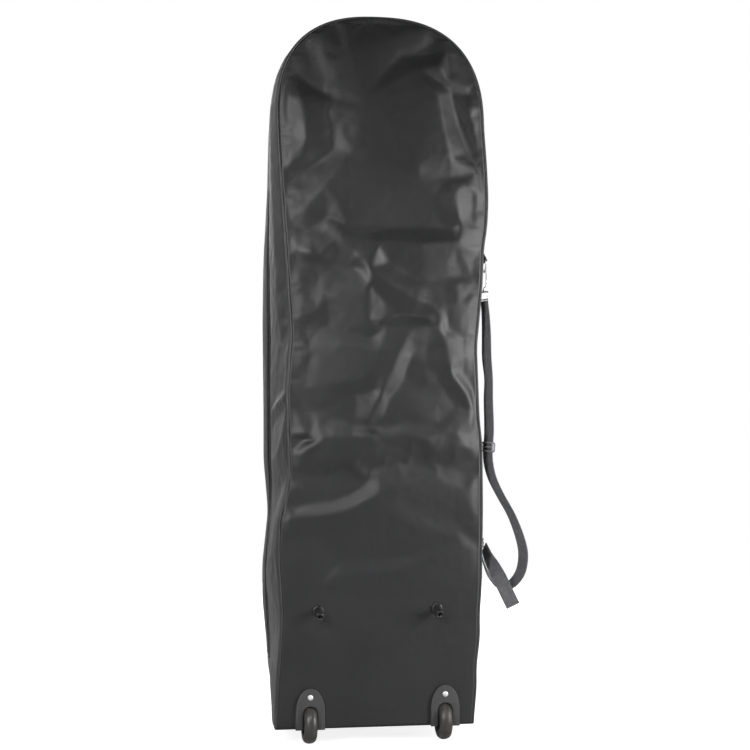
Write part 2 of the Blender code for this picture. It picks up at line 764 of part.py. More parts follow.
def make_ring_and_hook(word, ring_y, ring_z, webbing, metal):
    """A sewn tab, the D-ring hanging in it, and a swivel hook with its gate."""
    tab = box(
        f"ring_tab_{word}",
        (HALF_WIDTH + GAP, ring_y - RING_TAB_HALF_WIDTH, ring_z),
        (RING_X - 0.0020, ring_y + RING_TAB_HALF_WIDTH, ring_z + RING_TAB_HEIGHT),
        webbing,
    )
    half = RING_TAB_HALF_WIDTH
    ends = (RING_X, ring_y - half, ring_z), (RING_X, ring_y + half, ring_z)
    fold = cylinder(f"tab_fold_{word}", 0.0046, *ends, segments=20)
    ends = (RING_X, ring_y - 0.03, ring_z), (RING_X, ring_y + 0.03, ring_z)
    hole = cylinder(f"tab_hole_{word}", RING_WIRE + 0.0005, *ends, segments=16)
    combine(tab, [fold], "UNION")
    combine(tab, [hole], "DIFFERENCE")

    half = RING_HALF_WIDTH
    ring = [(RING_X, ring_y + half, ring_z), (RING_X, ring_y - half, ring_z)]
    for i in range(1, 10):
        angle = math.pi * i / 10
        y, z = ring_y - half * math.cos(angle), ring_z - RING_DROP * math.sin(angle)
        ring.append((RING_X, y, z))
    tube(f"d_ring_{word}", ring, RING_WIRE, metal, closed=True)

    top = ring_z - RING_DROP
    wide = HOOK_HALF_WIDTH
    path = [(-wide, -0.0080)] + arc(0, -0.0010, wide, 180, 0, 8)
    path += [(wide, -0.0210), (wide * 0.8, -0.0245), (0, -0.0265), (0, -0.0300)]
    points = [(RING_X + x, ring_y, top + z) for x, z in path]
    tube(f"strap_hook_{word}", points, RING_WIRE, metal)
    gate = (RING_X - wide, ring_y, top - 0.0215), (RING_X - wide, ring_y, top - 0.0086)
    cylinder(f"hook_gate_{word}", GATE_RADIUS, *gate, metal, segments=12)

    across = Vector((math.cos(LOOP_TURN), math.sin(LOOP_TURN), 0)) * LOOP_HALF_WIDTH
    centre = Vector((RING_X, ring_y, top))
    corners = ((1, -0.0345), (1, -LOOP_BOTTOM), (-1, -LOOP_BOTTOM), (-1, -0.0345))
    loop = [centre + across * side + Vector((0, 0, z)) for side, z in corners]
    frame = as_mesh(tube(f"webbing_loop_{word}", loop, RING_WIRE, metal, closed=True))
    swivel = cylinder(
        f"swivel_{word}",
        0.0026,
        centre + Vector((0, 0, -0.0345)),
        centre + Vector((0, 0, -0.0303)),
        segments=16,
    )
    combine(frame, [swivel], "UNION")


def make_strap(webbing, plastic):
    band("shoulder_strap", STRAP_ROUTE, WEBBING_WIDTH, WEBBING, webbing)
    band("strap_tail", TAIL_ROUTE, WEBBING_WIDTH, WEBBING, webbing)
    here = Vector(STRAP_ROUTE[STRAP_SLIDER_INDEX][:3])
    before, after = STRAP_ROUTE[STRAP_SLIDER_INDEX - 1], STRAP_ROUTE[STRAP_SLIDER_INDEX + 1]
    ahead = (Vector(after[:3]) - Vector(before[:3])).normalized()
    sideways = ahead.cross(Vector((0, 1, 0))).normalized()
    flat = sideways.cross(ahead).normalized()
    turn = math.radians(STRAP_ROUTE[STRAP_SLIDER_INDEX][3])
    across = flat * math.cos(turn) + sideways * math.sin(turn)
    out = across.cross(ahead).normalized()
    frame = Matrix((across, out, ahead)).transposed().to_4x4()
    place = Matrix.Translation(here) @ frame
    low, high = (-0.0160, -0.0038, -0.0090), (0.0160, 0.0038, 0.0090)
    slider = box("strap_slider", low, high, plastic, place)
    low, high = (-0.0134, -0.0020, -0.02), (0.0134, 0.0020, 0.02)
    slot = box("slider_slot", low, high, None, place)
    combine(slider, [slot], "DIFFERENCE")


def make_cinch_straps(webbing, plastic):
    """Two buckled straps inside, flat against the back, that hold the golf bag."""
    low_y = BACK_Y + FABRIC + GAP
    front_y = low_y + WEBBING
    half = HALF_WIDTH - CINCH_INSET
    wide, tall = BUCKLE_HALF_WIDTH, BUCKLE_HALF_HEIGHT
    for word, z in (("lower", LOWER_CINCH_Z), ("upper", UPPER_CINCH_Z)):
        low, high = z - WEBBING_WIDTH / 2, z + WEBBING_WIDTH / 2
        box(f"cinch_strap_{word}", (-half, low_y, low), (half, front_y, high), webbing)
        low, high = (-wide, front_y + GAP, z - tall), (wide, front_y + BUCKLE_THICKNESS, z + tall)
        box(f"cinch_buckle_{word}", low, high, plastic)


def main():
    fabric = make_material("polyester", (0.042, 0.042, 0.045), 0.55)
    lining = make_material("board_and_foam", (0.10, 0.10, 0.10), 0.80)
    trim = make_material("piping", (0.12, 0.12, 0.12), 0.50)
    tape = make_material("zip_tape", (0.03, 0.03, 0.03), 0.70)
    plastic = make_material("moulded_plastic", (0.08, 0.08, 0.08), 0.45)
    black = make_material("black_plastic", (0.02, 0.02, 0.02), 0.40)
    rubber = make_material("tyre", (0.06, 0.055, 0.05), 0.60)
    webbing = make_material("webbing", (0.10, 0.10, 0.11), 0.70)
    pale = make_material("slider_plastic", (0.30, 0.30, 0.30), 0.45)
    metal = make_material("nickel", (0.75, 0.75, 0.75), 0.25, 1.0)

    make_shell(fabric, lining, trim, tape)
    for side, word in ((-1, "left"), (1, "right")):
        make_wheel(side, word, plastic, rubber, metal)
        make_peg(side, word, black, metal)
        make_foot(side, word, black, metal)
    make_flap(fabric, lining, trim, tape, black, metal)
    for name, z in (("lower_zip", LOWER_SLIDER_Z), ("upper_zip", UPPER_SLIDER_Z)):
        make_slider(name, Matrix.Translation((HALF_WIDTH, ZIP_Y, z)), True, metal)
    make_ring_and_hook("upper", RING_Y, UPPER_RING_Z, webbing, metal)
    make_ring_and_hook("lower", LOWER_RING_Y, LOWER_RING_Z, webbing, metal)
    make_strap(webbing, pale)
    make_cinch_straps(webbing, black)


main()
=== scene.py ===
"""Looks of a standing golf travel case: coated polyester that slouches and creases over its
boards, piping, zips, webbing and metalwork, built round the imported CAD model."""

import json
import math

import bmesh
import bpy
import numpy as np
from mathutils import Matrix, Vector, noise
from mathutils.geometry import delaunay_2d_cdt

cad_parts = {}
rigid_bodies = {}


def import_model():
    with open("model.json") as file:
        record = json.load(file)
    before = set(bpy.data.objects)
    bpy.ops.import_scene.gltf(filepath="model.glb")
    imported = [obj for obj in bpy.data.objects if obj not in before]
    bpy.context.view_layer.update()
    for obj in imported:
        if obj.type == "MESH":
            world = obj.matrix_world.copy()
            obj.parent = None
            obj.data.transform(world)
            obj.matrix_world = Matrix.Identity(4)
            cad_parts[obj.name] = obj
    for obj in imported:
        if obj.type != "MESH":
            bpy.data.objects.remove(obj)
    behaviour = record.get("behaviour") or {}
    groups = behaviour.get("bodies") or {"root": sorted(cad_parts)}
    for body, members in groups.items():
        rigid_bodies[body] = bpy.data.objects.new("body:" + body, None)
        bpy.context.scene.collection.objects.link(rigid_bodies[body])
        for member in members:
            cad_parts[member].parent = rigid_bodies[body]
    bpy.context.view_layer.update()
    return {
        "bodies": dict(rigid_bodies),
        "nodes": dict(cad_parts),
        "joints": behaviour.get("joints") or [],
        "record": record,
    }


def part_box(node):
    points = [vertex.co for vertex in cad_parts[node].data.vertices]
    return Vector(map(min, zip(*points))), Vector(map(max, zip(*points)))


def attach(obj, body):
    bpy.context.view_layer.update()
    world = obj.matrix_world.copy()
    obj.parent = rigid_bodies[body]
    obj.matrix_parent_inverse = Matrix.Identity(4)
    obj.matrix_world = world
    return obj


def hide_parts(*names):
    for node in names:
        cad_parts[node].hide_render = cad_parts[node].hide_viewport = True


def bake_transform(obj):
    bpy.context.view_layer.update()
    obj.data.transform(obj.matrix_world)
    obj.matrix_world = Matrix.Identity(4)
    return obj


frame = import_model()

# ---------------------------------------------------------------- measures, in metres

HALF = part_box("gusset")[1].x
BOTTOM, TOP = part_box("gusset")[0].z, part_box("gusset")[1].z
BACK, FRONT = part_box("back_panel")[0].y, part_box("front_panel")[1].y
SPRING = 1.080
ARCH_POWER = 2.5
KICK_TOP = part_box("kick_panel")[1].z
FLAP_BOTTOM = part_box("front_panel")[0].z
ZIP_Y = 0.069
TAPE_EDGE = 0.0172
CLOTH = 0.0016
PIPING = 0.0022
SEAM_INSET = 0.0045
WHEEL_X = 0.1195
WHEEL_Y = -0.122
WHEEL_RADIUS = 0.034
HOUSING_HALF = 0.0255
RIVET_Z = 0.0825
PEG_X = 0.1055
PEG_Z = 0.2325
PEG_DROOP = math.radians(20)
RING_X = HALF + 0.0090
RING_Y = -0.120
LOWER_RING_Y = -0.085
RING_DROP = 0.020
RING_WIRE = 0.0015
WEBBING_WIDTH = 0.025
WEBBING = 0.0020
TAB_CENTRES = ((RING_Y, 0.862), (LOWER_RING_Y, 0.422))
RINGS = (("upper", RING_Y, 0.846), ("lower", LOWER_RING_Y, 0.405))
SIDES = ((-1, "left"), (1, "right"))
HANDLE_BAR = 0.0050
OUTLINE_POINTS = 681

# ---------------------------------------------------------------- camera and light


def add_object(name, data):
    """Puts new data into the scene as an object."""
    made = bpy.data.objects.new(name, data)
    bpy.context.scene.collection.objects.link(made)
    return made


VIEW_AZIMUTH = math.radians(-9.5)
VIEW_DISTANCE = 2.9
VIEW_HEIGHT = 0.58

camera_data = bpy.data.cameras.new("camera")
camera_data.lens = 79.6
camera_data.sensor_width = 36.0
camera_data.shift_x = -0.004
camera_data.shift_y = 0.048
camera = add_object("camera", camera_data)
camera.location = (
    VIEW_DISTANCE * math.sin(VIEW_AZIMUTH),
    BACK - VIEW_DISTANCE * math.cos(VIEW_AZIMUTH),
    VIEW_HEIGHT,
)
camera.rotation_euler = (math.pi / 2, 0.0, VIEW_AZIMUTH)
bpy.context.scene.camera = camera
bpy.context.scene.view_settings.view_transform = "Standard"


def area_light(name, place, target, width, height, watts, spread=180):
    data = bpy.data.lights.new(name, "AREA")
    data.shape = "RECTANGLE"
    data.size, data.size_y = width, height
    data.energy = watts
    data.spread = math.radians(spread)
    light = add_object(name, data)
    light.location = place
    away = Vector(place) - Vector(target)
    light.rotation_euler = away.to_track_quat("Z", "Y").to_euler()


area_light("soft_left", (-1.3, -1.75, 1.10), (0.0, -0.1, 0.80), 0.5, 0.9, 29)
area_light("soft_right", (1.7, -1.2, 0.80), (0.0, -0.1, 0.62), 0.5, 1.2, 38)
area_light("soft_high", (-0.3, -1.9, 2.1), (0.0, -0.1, 0.22), 0.9, 0.4, 0.65, spread=30)
area_light("soft_front", (0.4, 2.6, 1.2), (0.0, 0.1, 0.65), 1.6, 1.6, 40)


class Nodes:
    """Shorthand for building a node tree."""

    def __init__(self, tree):
        self.tree = tree

    def node(self, kind, **values):
        made = self.tree.nodes.new(kind)
        for name, value in values.items():
            setattr(made, name, value)
        return made

    def link(self, output, socket):
        self.tree.links.new(output, socket)

    def math(self, operation, first, second):
        made = self.node("ShaderNodeMath", operation=operation)
        for socket, value in zip(made.inputs, (first, second)):
            if isinstance(value, (int, float)):
                socket.default_value = value
            else:
                self.link(value, socket)
        return made.outputs[0]

    def ranged(self, value, low, high, start=0.3, end=0.7):
        made = self.node("ShaderNodeMapRange")
        for socket, number in zip(made.inputs[1:5], (start, end, low, high)):
            socket.default_value = number
        self.link(value, made.inputs[0])
        return made.outputs[0]


def studio_world():
    """A white room: brighter beyond the case than on the camera's side, dim overhead."""
    world = bpy.data.worlds.new("studio")
    world.use_nodes = True
    nodes = Nodes(world.node_tree)
    split = nodes.node("ShaderNodeSeparateXYZ")
    nodes.link(nodes.node("ShaderNodeTexCoord").outputs["Generated"], split.inputs[0])
    beyond = nodes.ranged(split.outputs[1], 0.045, 1.0, -0.5, 0.9)
    overhead = nodes.ranged(split.outputs[2], 1.0, 0.25, 0.15, 0.9)
    low_down = nodes.ranged(split.outputs[2], 0.35, 1.0, 0.0, 0.09)
    lit = nodes.math("MULTIPLY", nodes.math("MULTIPLY", beyond, overhead), low_down)
    seen = nodes.node("ShaderNodeLightPath").outputs["Is Camera Ray"]
    background = world.node_tree.nodes["Background"]
    background.inputs["Color"].default_value = (1.0, 1.0, 1.0, 1.0)
    nodes.link(nodes.math("MAXIMUM", lit, seen), background.inputs["Strength"])
    bpy.context.scene.world = world


studio_world()


# ---------------------------------------------------------------- materials


FINISH = {}


class Finish(Nodes):
    """A material whose surface varies: each call adds one layer of colour, gloss or relief."""

    def __init__(self, name, colour, roughness, metallic=0.0, specular=0.5, **sockets):
        self.material = bpy.data.materials.new(name)
        self.material.use_nodes = True
        self.material.diffuse_color = (*colour, 1.0)
        super().__init__(self.material.node_tree)
        self.shader = self.tree.nodes["Principled BSDF"]
        self.shader.inputs["Base Color"].default_value = (*colour, 1.0)
        self.shader.inputs["Roughness"].default_value = roughness
        self.shader.inputs["Metallic"].default_value = metallic
        self.shader.inputs["Specular IOR Level"].default_value = specular
        for socket, value in sockets.items():
            self.shader.inputs[socket.replace("_", " ")].default_value = value
        self.colour = colour
        self.place = self.node("ShaderNodeTexCoord").outputs
        FINISH[name] = self

    def noise(self, scale, detail=3.0, stretch=(1.0, 1.0, 1.0)):
        mapping = self.node("ShaderNodeMapping")
        mapping.inputs["Scale"].default_value = stretch
        self.link(self.place["Object"], mapping.inputs["Vector"])
        made = self.node("ShaderNodeTexNoise")
        made.inputs["Scale"].default_value = scale
        made.inputs["Detail"].default_value = detail
        self.link(mapping.outputs[0], made.inputs["Vector"])
        return made.outputs["Fac"]

    def vary_colour(self, scale, darker, lighter):
        mix = self.node("ShaderNodeMix", data_type="RGBA")
        mix.inputs["A"].default_value = (*[c * darker for c in self.colour], 1.0)
        mix.inputs["B"].default_value = (*[c * lighter for c in self.colour], 1.0)
        self.link(self.ranged(self.noise(scale), 0.0, 1.0), mix.inputs["Factor"])
        self.link(mix.outputs["Result"], self.shader.inputs["Base Color"])
        return self

    def vary_gloss(self, scale, low, high):
        self.link(self.ranged(self.noise(scale), low, high), self.shader.inputs["Roughness"])
        return self

    def relief(self, height, distance, strength=1.0):
        """Adds a bump on top of any relief that is there already."""
        bump = self.node("ShaderNodeBump")
        bump.inputs["Strength"].default_value = strength
        bump.inputs["Distance"].default_value = distance
        self.link(height, bump.inputs["Height"])
        normal = self.shader.inputs["Normal"]
        if normal.links:
            self.link(normal.links[0].from_socket, bump.inputs["Normal"])
        self.link(bump.outputs["Normal"], normal)
        return self

    def weave(self, across, along, distance, diagonal):
        """Threads crossing over and under, with a period for each way of the cloth."""
        split = self.node("ShaderNodeSeparateXYZ")
        self.link(self.place["UV"], split.inputs[0])
        u, v = split.outputs[0], split.outputs[1]
        slant = self.math("ADD", u, self.math("MULTIPLY", v, diagonal))
        warp = self.math("SINE", self.math("MULTIPLY", slant, 2 * math.pi / across), 0.0)
        weft = self.math("SINE", self.math("MULTIPLY", v, 2 * math.pi / along), 0.0)
        return self.relief(self.math("MULTIPLY", warp, weft), distance)


def make_finishes():
    """One finish for each kind of surface, kept in FINISH by name."""
    cloth = Finish(
        "polyester", (0.0095, 0.0097, 0.0106), 0.49, specular=0.58,
        Sheen_Weight=0.06, Sheen_Roughness=0.4,
    )
    cloth.vary_colour(7.0, 0.90, 1.12).vary_gloss(16.0, 0.45, 0.53)
    cloth.relief(cloth.noise(260.0, 2.0, (1.0, 1.0, 5.0)), 0.00012)
    cloth.relief(cloth.noise(260.0, 2.0, (5.0, 5.0, 1.0)), 0.00012)
    cloth.relief(cloth.noise(48.0, 3.0), 0.0008, 0.4)
    trim = Finish("piping", (0.032, 0.032, 0.034), 0.40)
    trim.vary_colour(90.0, 0.8, 1.2).relief(trim.noise(900.0), 0.0002)
    tape = Finish("zip_tape", (0.017, 0.017, 0.018), 0.75, specular=0.3)
    tape.vary_colour(60.0, 0.85, 1.15).weave(0.0010, 0.0012, 0.00018, 1.0)
    Finish("zip_coil", (0.022, 0.022, 0.024), 0.32).vary_gloss(200.0, 0.25, 0.42)
    webbing = Finish("webbing", (0.115, 0.115, 0.122), 0.62, specular=0.35, Sheen_Weight=0.15)
    webbing.vary_colour(120.0, 0.82, 1.18).weave(0.0030, 0.0022, 0.00045, 0.7)
    thread = Finish("thread", (0.035, 0.035, 0.037), 0.55)
    thread.relief(thread.noise(1500.0), 0.0002)
    housing = Finish("housing", (0.050, 0.050, 0.051), 0.50, specular=0.45)
    housing.vary_colour(40.0, 0.93, 1.08).relief(housing.noise(1400.0, 2.0), 0.00012)
    black = Finish("black_plastic", (0.016, 0.016, 0.016), 0.34)
    black.vary_gloss(60.0, 0.28, 0.42).relief(black.noise(1100.0, 2.0), 0.00010)
    pale = Finish("pale_plastic", (0.24, 0.24, 0.245), 0.42)
    pale.vary_colour(80.0, 0.92, 1.06).relief(pale.noise(1100.0, 2.0), 0.00010)
    tyre = Finish("tyre", (0.045, 0.042, 0.038), 0.36)
    tyre.vary_colour(70.0, 0.8, 1.2).vary_gloss(50.0, 0.30, 0.48)
    tyre.relief(tyre.noise(900.0, 2.0), 0.00015)
    metal = Finish("nickel", (0.80, 0.80, 0.79), 0.30, metallic=0.8)
    metal.vary_gloss(150.0, 0.24, 0.38).relief(metal.noise(500.0), 0.00008)
    rivet = Finish("rivet", (0.78, 0.78, 0.77), 0.42, metallic=0.45)
    rivet.vary_gloss(150.0, 0.36, 0.48).relief(rivet.noise(500.0), 0.00006)
    lining = Finish("lining", (0.060, 0.060, 0.062), 0.80, specular=0.25)
    lining.vary_colour(25.0, 0.85, 1.15).relief(lining.noise(700.0), 0.0004)


make_finishes()


# ---------------------------------------------------------------- mesh helpers


def new_piece(name, points, faces, finish, body, uv=None, replaces=(), smooth=True):
    mesh = bpy.data.meshes.new(name)
    points = np.asarray(points, float).reshape(-1, 3)
    mesh.from_pydata(points.tolist(), [], [list(map(int, face)) for face in faces])
    mesh.materials.append(FINISH[finish].material)
    if uv is not None:
        layer = mesh.uv_layers.new(name="metres")
        corners = np.zeros(len(mesh.loops), np.int32)
        mesh.loops.foreach_get("vertex_index", corners)
        layer.data.foreach_set("uv", np.asarray(uv, float).reshape(-1, 2)[corners].ravel())
    mesh.polygons.foreach_set("use_smooth", [smooth] * len(mesh.polygons))
    mesh.update()
    piece = add_object(name, mesh)
    if body is not None:
        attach(piece, body)
    if replaces:
        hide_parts(*replaces)
    return piece


def travelled(points):
    """How far along a path each of its points is."""
    return np.r_[0, np.cumsum(np.linalg.norm(np.diff(points, axis=0), axis=1))]


def sampled(values, run, spots):
    """Values that belong to a path's points, read at some distances along it."""
    return np.stack([np.interp(spots, run, column) for column in np.asarray(values).T], -1)


def grid_faces(rows, columns, keep=None):
    corner = np.arange(rows - 1)[:, None] * columns + np.arange(columns - 1)[None, :]
    quads = np.stack((corner, corner + 1, corner + columns + 1, corner + columns), -1)
    quads = quads.reshape(-1, 4)
    return quads if keep is None else quads[np.asarray(keep).ravel()]


def cloth_piece(
    name, points, body, finish="polyester", uv=None, keep=None, replaces=(), thickness=CLOTH
):
    """A grid of points as a sheet of cloth with real thickness, closed all round."""
    points = np.asarray(points, float)
    rows, columns = points.shape[:2]
    if uv is None:
        along, over = travelled(points[:, 0]), travelled(points[0])
        uv = np.stack(np.broadcast_arrays(over[None, :], along[:, None]), -1)
    faces = grid_faces(rows, columns, keep)
    piece = new_piece(name, points, faces, finish, body, uv, replaces)
    solid = piece.modifiers.new("thickness", "SOLIDIFY")
    solid.thickness = thickness
    solid.offset = 0.0
    loose_points(piece)
    apply_all(piece)
    return piece


def loose_points(piece):
    """Takes away points that no face uses."""
    shape = bmesh.new()
    shape.from_mesh(piece.data)
    unused = [point for point in shape.verts if not point.link_faces]
    bmesh.ops.delete(shape, geom=unused, context="VERTS")
    shape.to_mesh(piece.data)
    shape.free()


def apply_all(piece):
    graph = bpy.context.evaluated_depsgraph_get()
    mesh = bpy.data.meshes.new_from_object(piece.evaluated_get(graph))
    piece.modifiers.clear()
    piece.data = mesh


def smooth_route(points, step):
    """Points a fixed step apart on a smooth curve through the given ones."""
    points = np.asarray(points, float)
    padded = np.vstack((2 * points[0] - points[1], points, 2 * points[-1] - points[-2]))
    dense = []
    for a, b, c, d in zip(padded, padded[1:], padded[2:], padded[3:]):
        for t in np.linspace(0, 1, 24, endpoint=False):
            curve = 2 * b + (c - a) * t + (2 * a - 5 * b + 4 * c - d) * t * t
            dense.append(0.5 * (curve + (3 * b - a - 3 * c + d) * t**3))
    dense = np.vstack((dense, points[-1:]))
    run = travelled(dense[:, :3])
    count = max(2, int(round(run[-1] / step)) + 1)
    return sampled(dense, run, np.linspace(0, run[-1], count))


def unit(vectors):
    return vectors / np.maximum(np.linalg.norm(vectors, axis=-1, keepdims=True), 1e-12)


def sweep(name, points, across, out, section, finish, body, closed=False, replaces=()):
    """A closed section carried along a path. across and out are its two directions."""
    points, section = np.asarray(points, float), np.asarray(section, float)
    rows, sides = len(points), len(section)
    rings = (
        points[:, None]
        + section[None, :, 0:1] * across[:, None]
        + section[None, :, 1:2] * out[:, None]
    )
    loops = rows if closed else rows - 1
    faces = []
    for i in range(loops):
        here, there = i * sides, (i + 1) % rows * sides
        for j in range(sides):
            k = (j + 1) % sides
            faces.append((here + j, here + k, there + k, there + j))
    if not closed:
        faces.append(tuple(range(sides - 1, -1, -1)))
        faces.append(tuple((rows - 1) * sides + j for j in range(sides)))
    uv = np.stack(np.broadcast_arrays(section[None, :, 0], travelled(points)[:, None]), -1)
    return new_piece(name, rings, faces, finish, body, uv, replaces)


def ways(points, closed=False):
    """Two directions square to a path at each point, carried along without twisting."""
    points = np.asarray(points, float)
    if closed:
        ahead = unit(np.roll(points, -1, 0) - np.roll(points, 1, 0))
    else:
        ahead = unit(np.gradient(points, axis=0))
    start = np.array((0.0, 1.0, 0.0)) if abs(ahead[0][1]) < 0.9 else np.array((1.0, 0.0, 0.0))
    across = [unit(np.cross(ahead[0], start))]
    for direction in ahead[1:]:
        across.append(unit(across[-1] - direction * (across[-1] @ direction)))
    across = np.array(across)
    return across, np.cross(ahead, across)


def circle(radius, sides):
    turn = np.linspace(0, 2 * np.pi, sides, endpoint=False)
    return np.stack((radius * np.cos(turn), radius * np.sin(turn)), -1)


def tube(name, points, radius, finish, body, closed=False, sides=10, replaces=()):
    across, out = ways(points, closed)
    return sweep(
        name, points, across, out, circle(radius, sides), finish, body, closed, replaces
    )


def ribbon_section(width, thickness):
    """Across a webbing: flat faces, with slightly thicker woven edges."""
    half, low = width / 2, thickness / 2
    top = [(-half, 0.0), (-half + 0.0004, low * 0.9), (-half + 0.0012, low * 1.1)]
    top += [(-half + 0.0024, low * 0.92), (0.0, low), (half - 0.0024, low * 0.92)]
    top += [(half - 0.0012, low * 1.1), (half - 0.0004, low * 0.9), (half, 0.0)]
    return top + [(a, -b) for a, b in reversed(top[1:-1])]


def band(name, route, sideways, width, thickness, body, replaces=()):
    """Webbing along a route, with its width along one fixed direction."""
    across = np.broadcast_to(sideways, route.shape)
    out = np.cross(across, unit(np.gradient(route, axis=0)))
    section = ribbon_section(width, thickness)
    return sweep(name, route, across, out, section, "webbing", body, replaces=replaces)


def blocks(name, centres, along, out, size, finish, body):
    """Many small rounded bars, one on each centre: stitches, or the coil of a zip."""
    slim = 0.55
    centres, along, out = (np.asarray(v, float) for v in (centres, along, out))
    across = np.cross(along, out)
    a, b, c = (v / 2 for v in size)
    ring = [(-b, -c * slim), (-b * slim, -c), (b * slim, -c), (b, -c * slim)]
    ring += [(b, c * slim), (b * slim, c), (-b * slim, c), (-b, c * slim)]
    shape = [(-a, y, z) for y, z in ring] + [(a, y, z) for y, z in ring]
    shape = np.array(shape)
    points = (
        centres[:, None]
        + shape[None, :, 0:1] * along[:, None]
        + shape[None, :, 1:2] * across[:, None]
        + shape[None, :, 2:3] * out[:, None]
    )
    bar = [(j, (j + 1) % 8, 8 + (j + 1) % 8, 8 + j) for j in range(8)]
    bar += [tuple(range(7, -1, -1)), tuple(range(8, 16))]
    faces = [tuple(16 * i + k for k in face) for i in range(len(centres)) for face in bar]
    return new_piece(name, points, faces, finish, body, smooth=False)


def stitches(name, path, out, body):
    """A row of thread stitches on a path, standing a little out of the cloth."""
    length, gap, thick, lift = 0.0032, 0.0014, 0.0007, 0.0003
    path = np.asarray(path, float)
    run = travelled(path)
    spots = np.arange(length, run[-1] - length, length + gap)
    places = sampled(path, run, spots)
    ahead = unit(sampled(path, run, spots + 0.001) - places)
    outs = unit(sampled(np.broadcast_to(np.asarray(out, float), path.shape), run, spots))
    size = (length, thick, thick)
    return blocks(name, places + outs * lift, ahead, outs, size, "thread", body)


def lathe(name, profile, start, axis, finish, body, steps=48, replaces=()):
    """A profile of (radius, height) points turned round an axis."""
    profile = np.asarray(profile, float)
    axis = unit(np.asarray(axis, float))
    side = unit(np.cross(axis, (0.0, 0.31, 0.95)))
    other = np.cross(axis, side)
    turn = np.linspace(0, 2 * np.pi, steps, endpoint=False)
    rim = np.cos(turn)[:, None] * side + np.sin(turn)[:, None] * other
    closed = profile[0][0] > 1e-6
    points, rings = [], []
    for radius, height in profile:
        centre = np.asarray(start, float) + axis * height
        if radius < 1e-6:
            rings.append([len(points)] * steps)
            points.append(centre)
        else:
            rings.append(list(range(len(points), len(points) + steps)))
            points.extend(centre + radius * rim)
    pairs = list(zip(rings, rings[1:]))
    if closed:
        pairs.append((rings[-1], rings[0]))
    faces = []
    for here, there in pairs:
        for j in range(steps):
            k = (j + 1) % steps
            face = [here[j], here[k], there[k], there[j]]
            faces.append(tuple(dict.fromkeys(face)))
    return new_piece(name, points, faces, finish, body, replaces=replaces)


def slab(name, outline, low, high, finish, body, holes=(), edge=0.0008, replaces=()):
    """A plate with rounded edges, cut to an outline in XZ between two depths."""
    curve = bpy.data.curves.new(name, "CURVE")
    curve.dimensions = "2D"
    curve.fill_mode = "BOTH"
    curve.extrude = (high - low) / 2 - edge
    curve.bevel_depth = edge
    curve.bevel_resolution = 2
    curve.offset = -edge
    for ring in (outline, *holes):
        spline = curve.splines.new("POLY")
        spline.points.add(len(ring) - 1)
        for point, (x, y) in zip(spline.points, ring):
            point.co = (x, y, 0, 1)
        spline.use_cyclic_u = True
    flat = add_object(name, curve)
    bpy.context.view_layer.update()
    graph = bpy.context.evaluated_depsgraph_get()
    mesh = bpy.data.meshes.new_from_object(flat.evaluated_get(graph))
    points = np.array([v.co for v in mesh.vertices]).reshape(-1, 3)
    faces = [tuple(p.vertices) for p in mesh.polygons]
    bpy.data.objects.remove(flat)
    points = np.stack((points[:, 0], (low + high) / 2 - points[:, 2], points[:, 1]), -1)
    piece = new_piece(name, points, faces, finish, body, replaces=replaces)
    weld(piece)
    piece.data.set_sharp_from_angle(angle=math.radians(50))
    return piece


def weld(piece):
    shape = bmesh.new()
    shape.from_mesh(piece.data)
    bmesh.ops.remove_doubles(shape, verts=shape.verts, dist=0.00002)
    bmesh.ops.recalc_face_normals(shape, faces=shape.faces)
    shape.to_mesh(piece.data)
    shape.free()


# ---------------------------------------------------------------- the case's own shape

# Where the back panel's seams run, as (height, distance from the middle) in mm: the soft
# case slouches, so the two sides differ.
BACK_RIGHT = (
    (28, 172), (96, 178), (126, 177), (184, 184), (218, 183),
    (273, 187), (407, 189), (523, 188), (563, 183), (642, 180),
    (694, 178), (734, 182), (800, 188), (870, 191), (906, 197),
    (956, 199), (1017, 196), (1080, 191), (1270, 188),
)
BACK_LEFT = (
    (21, 182), (114, 177), (218, 170), (322, 177), (392, 176),
    (425, 166), (460, 158), (614, 162), (713, 154), (832, 162),
    (956, 171), (1049, 177), (1096, 179), (1270, 185),
)
FRONT_LEFT = (
    (30, 154), (113, 168), (135, 167), (226, 176), (292, 176),
    (391, 165), (488, 174), (578, 174), (747, 176), (866, 174),
    (988, 167), (1054, 165), (1139, 163), (1270, 170),
)


def smoothstep(value, low=0.0, high=1.0):
    t = np.clip((np.asarray(value, float) - low) / (high - low), 0, 1)
    return t * t * (3 - 2 * t)


def along(table, z):
    """Reads a table at a height, rounded off over a few centimetres."""
    heights, values = np.array(table).T / 1000
    spread = np.linspace(-0.016, 0.016, 7)
    return sum(np.interp(z + d, heights, values) for d in spread) / len(spread)


def outline(count):
    """Evenly spaced points up the right side, over the arch and down the left."""
    turn = np.linspace(0, np.pi, 1200)
    x = HALF * np.sign(np.cos(turn)) * np.abs(np.cos(turn)) ** (2 / ARCH_POWER)
    z = SPRING + (TOP - SPRING) * np.abs(np.sin(turn)) ** (2 / ARCH_POWER)
    x, z = np.r_[HALF, x, -HALF], np.r_[BOTTOM, z, BOTTOM]
    run = np.r_[0, np.cumsum(np.hypot(np.diff(x), np.diff(z)))]
    even = np.linspace(0, run[-1], count)
    return np.interp(even, run, x), np.interp(even, run, z)


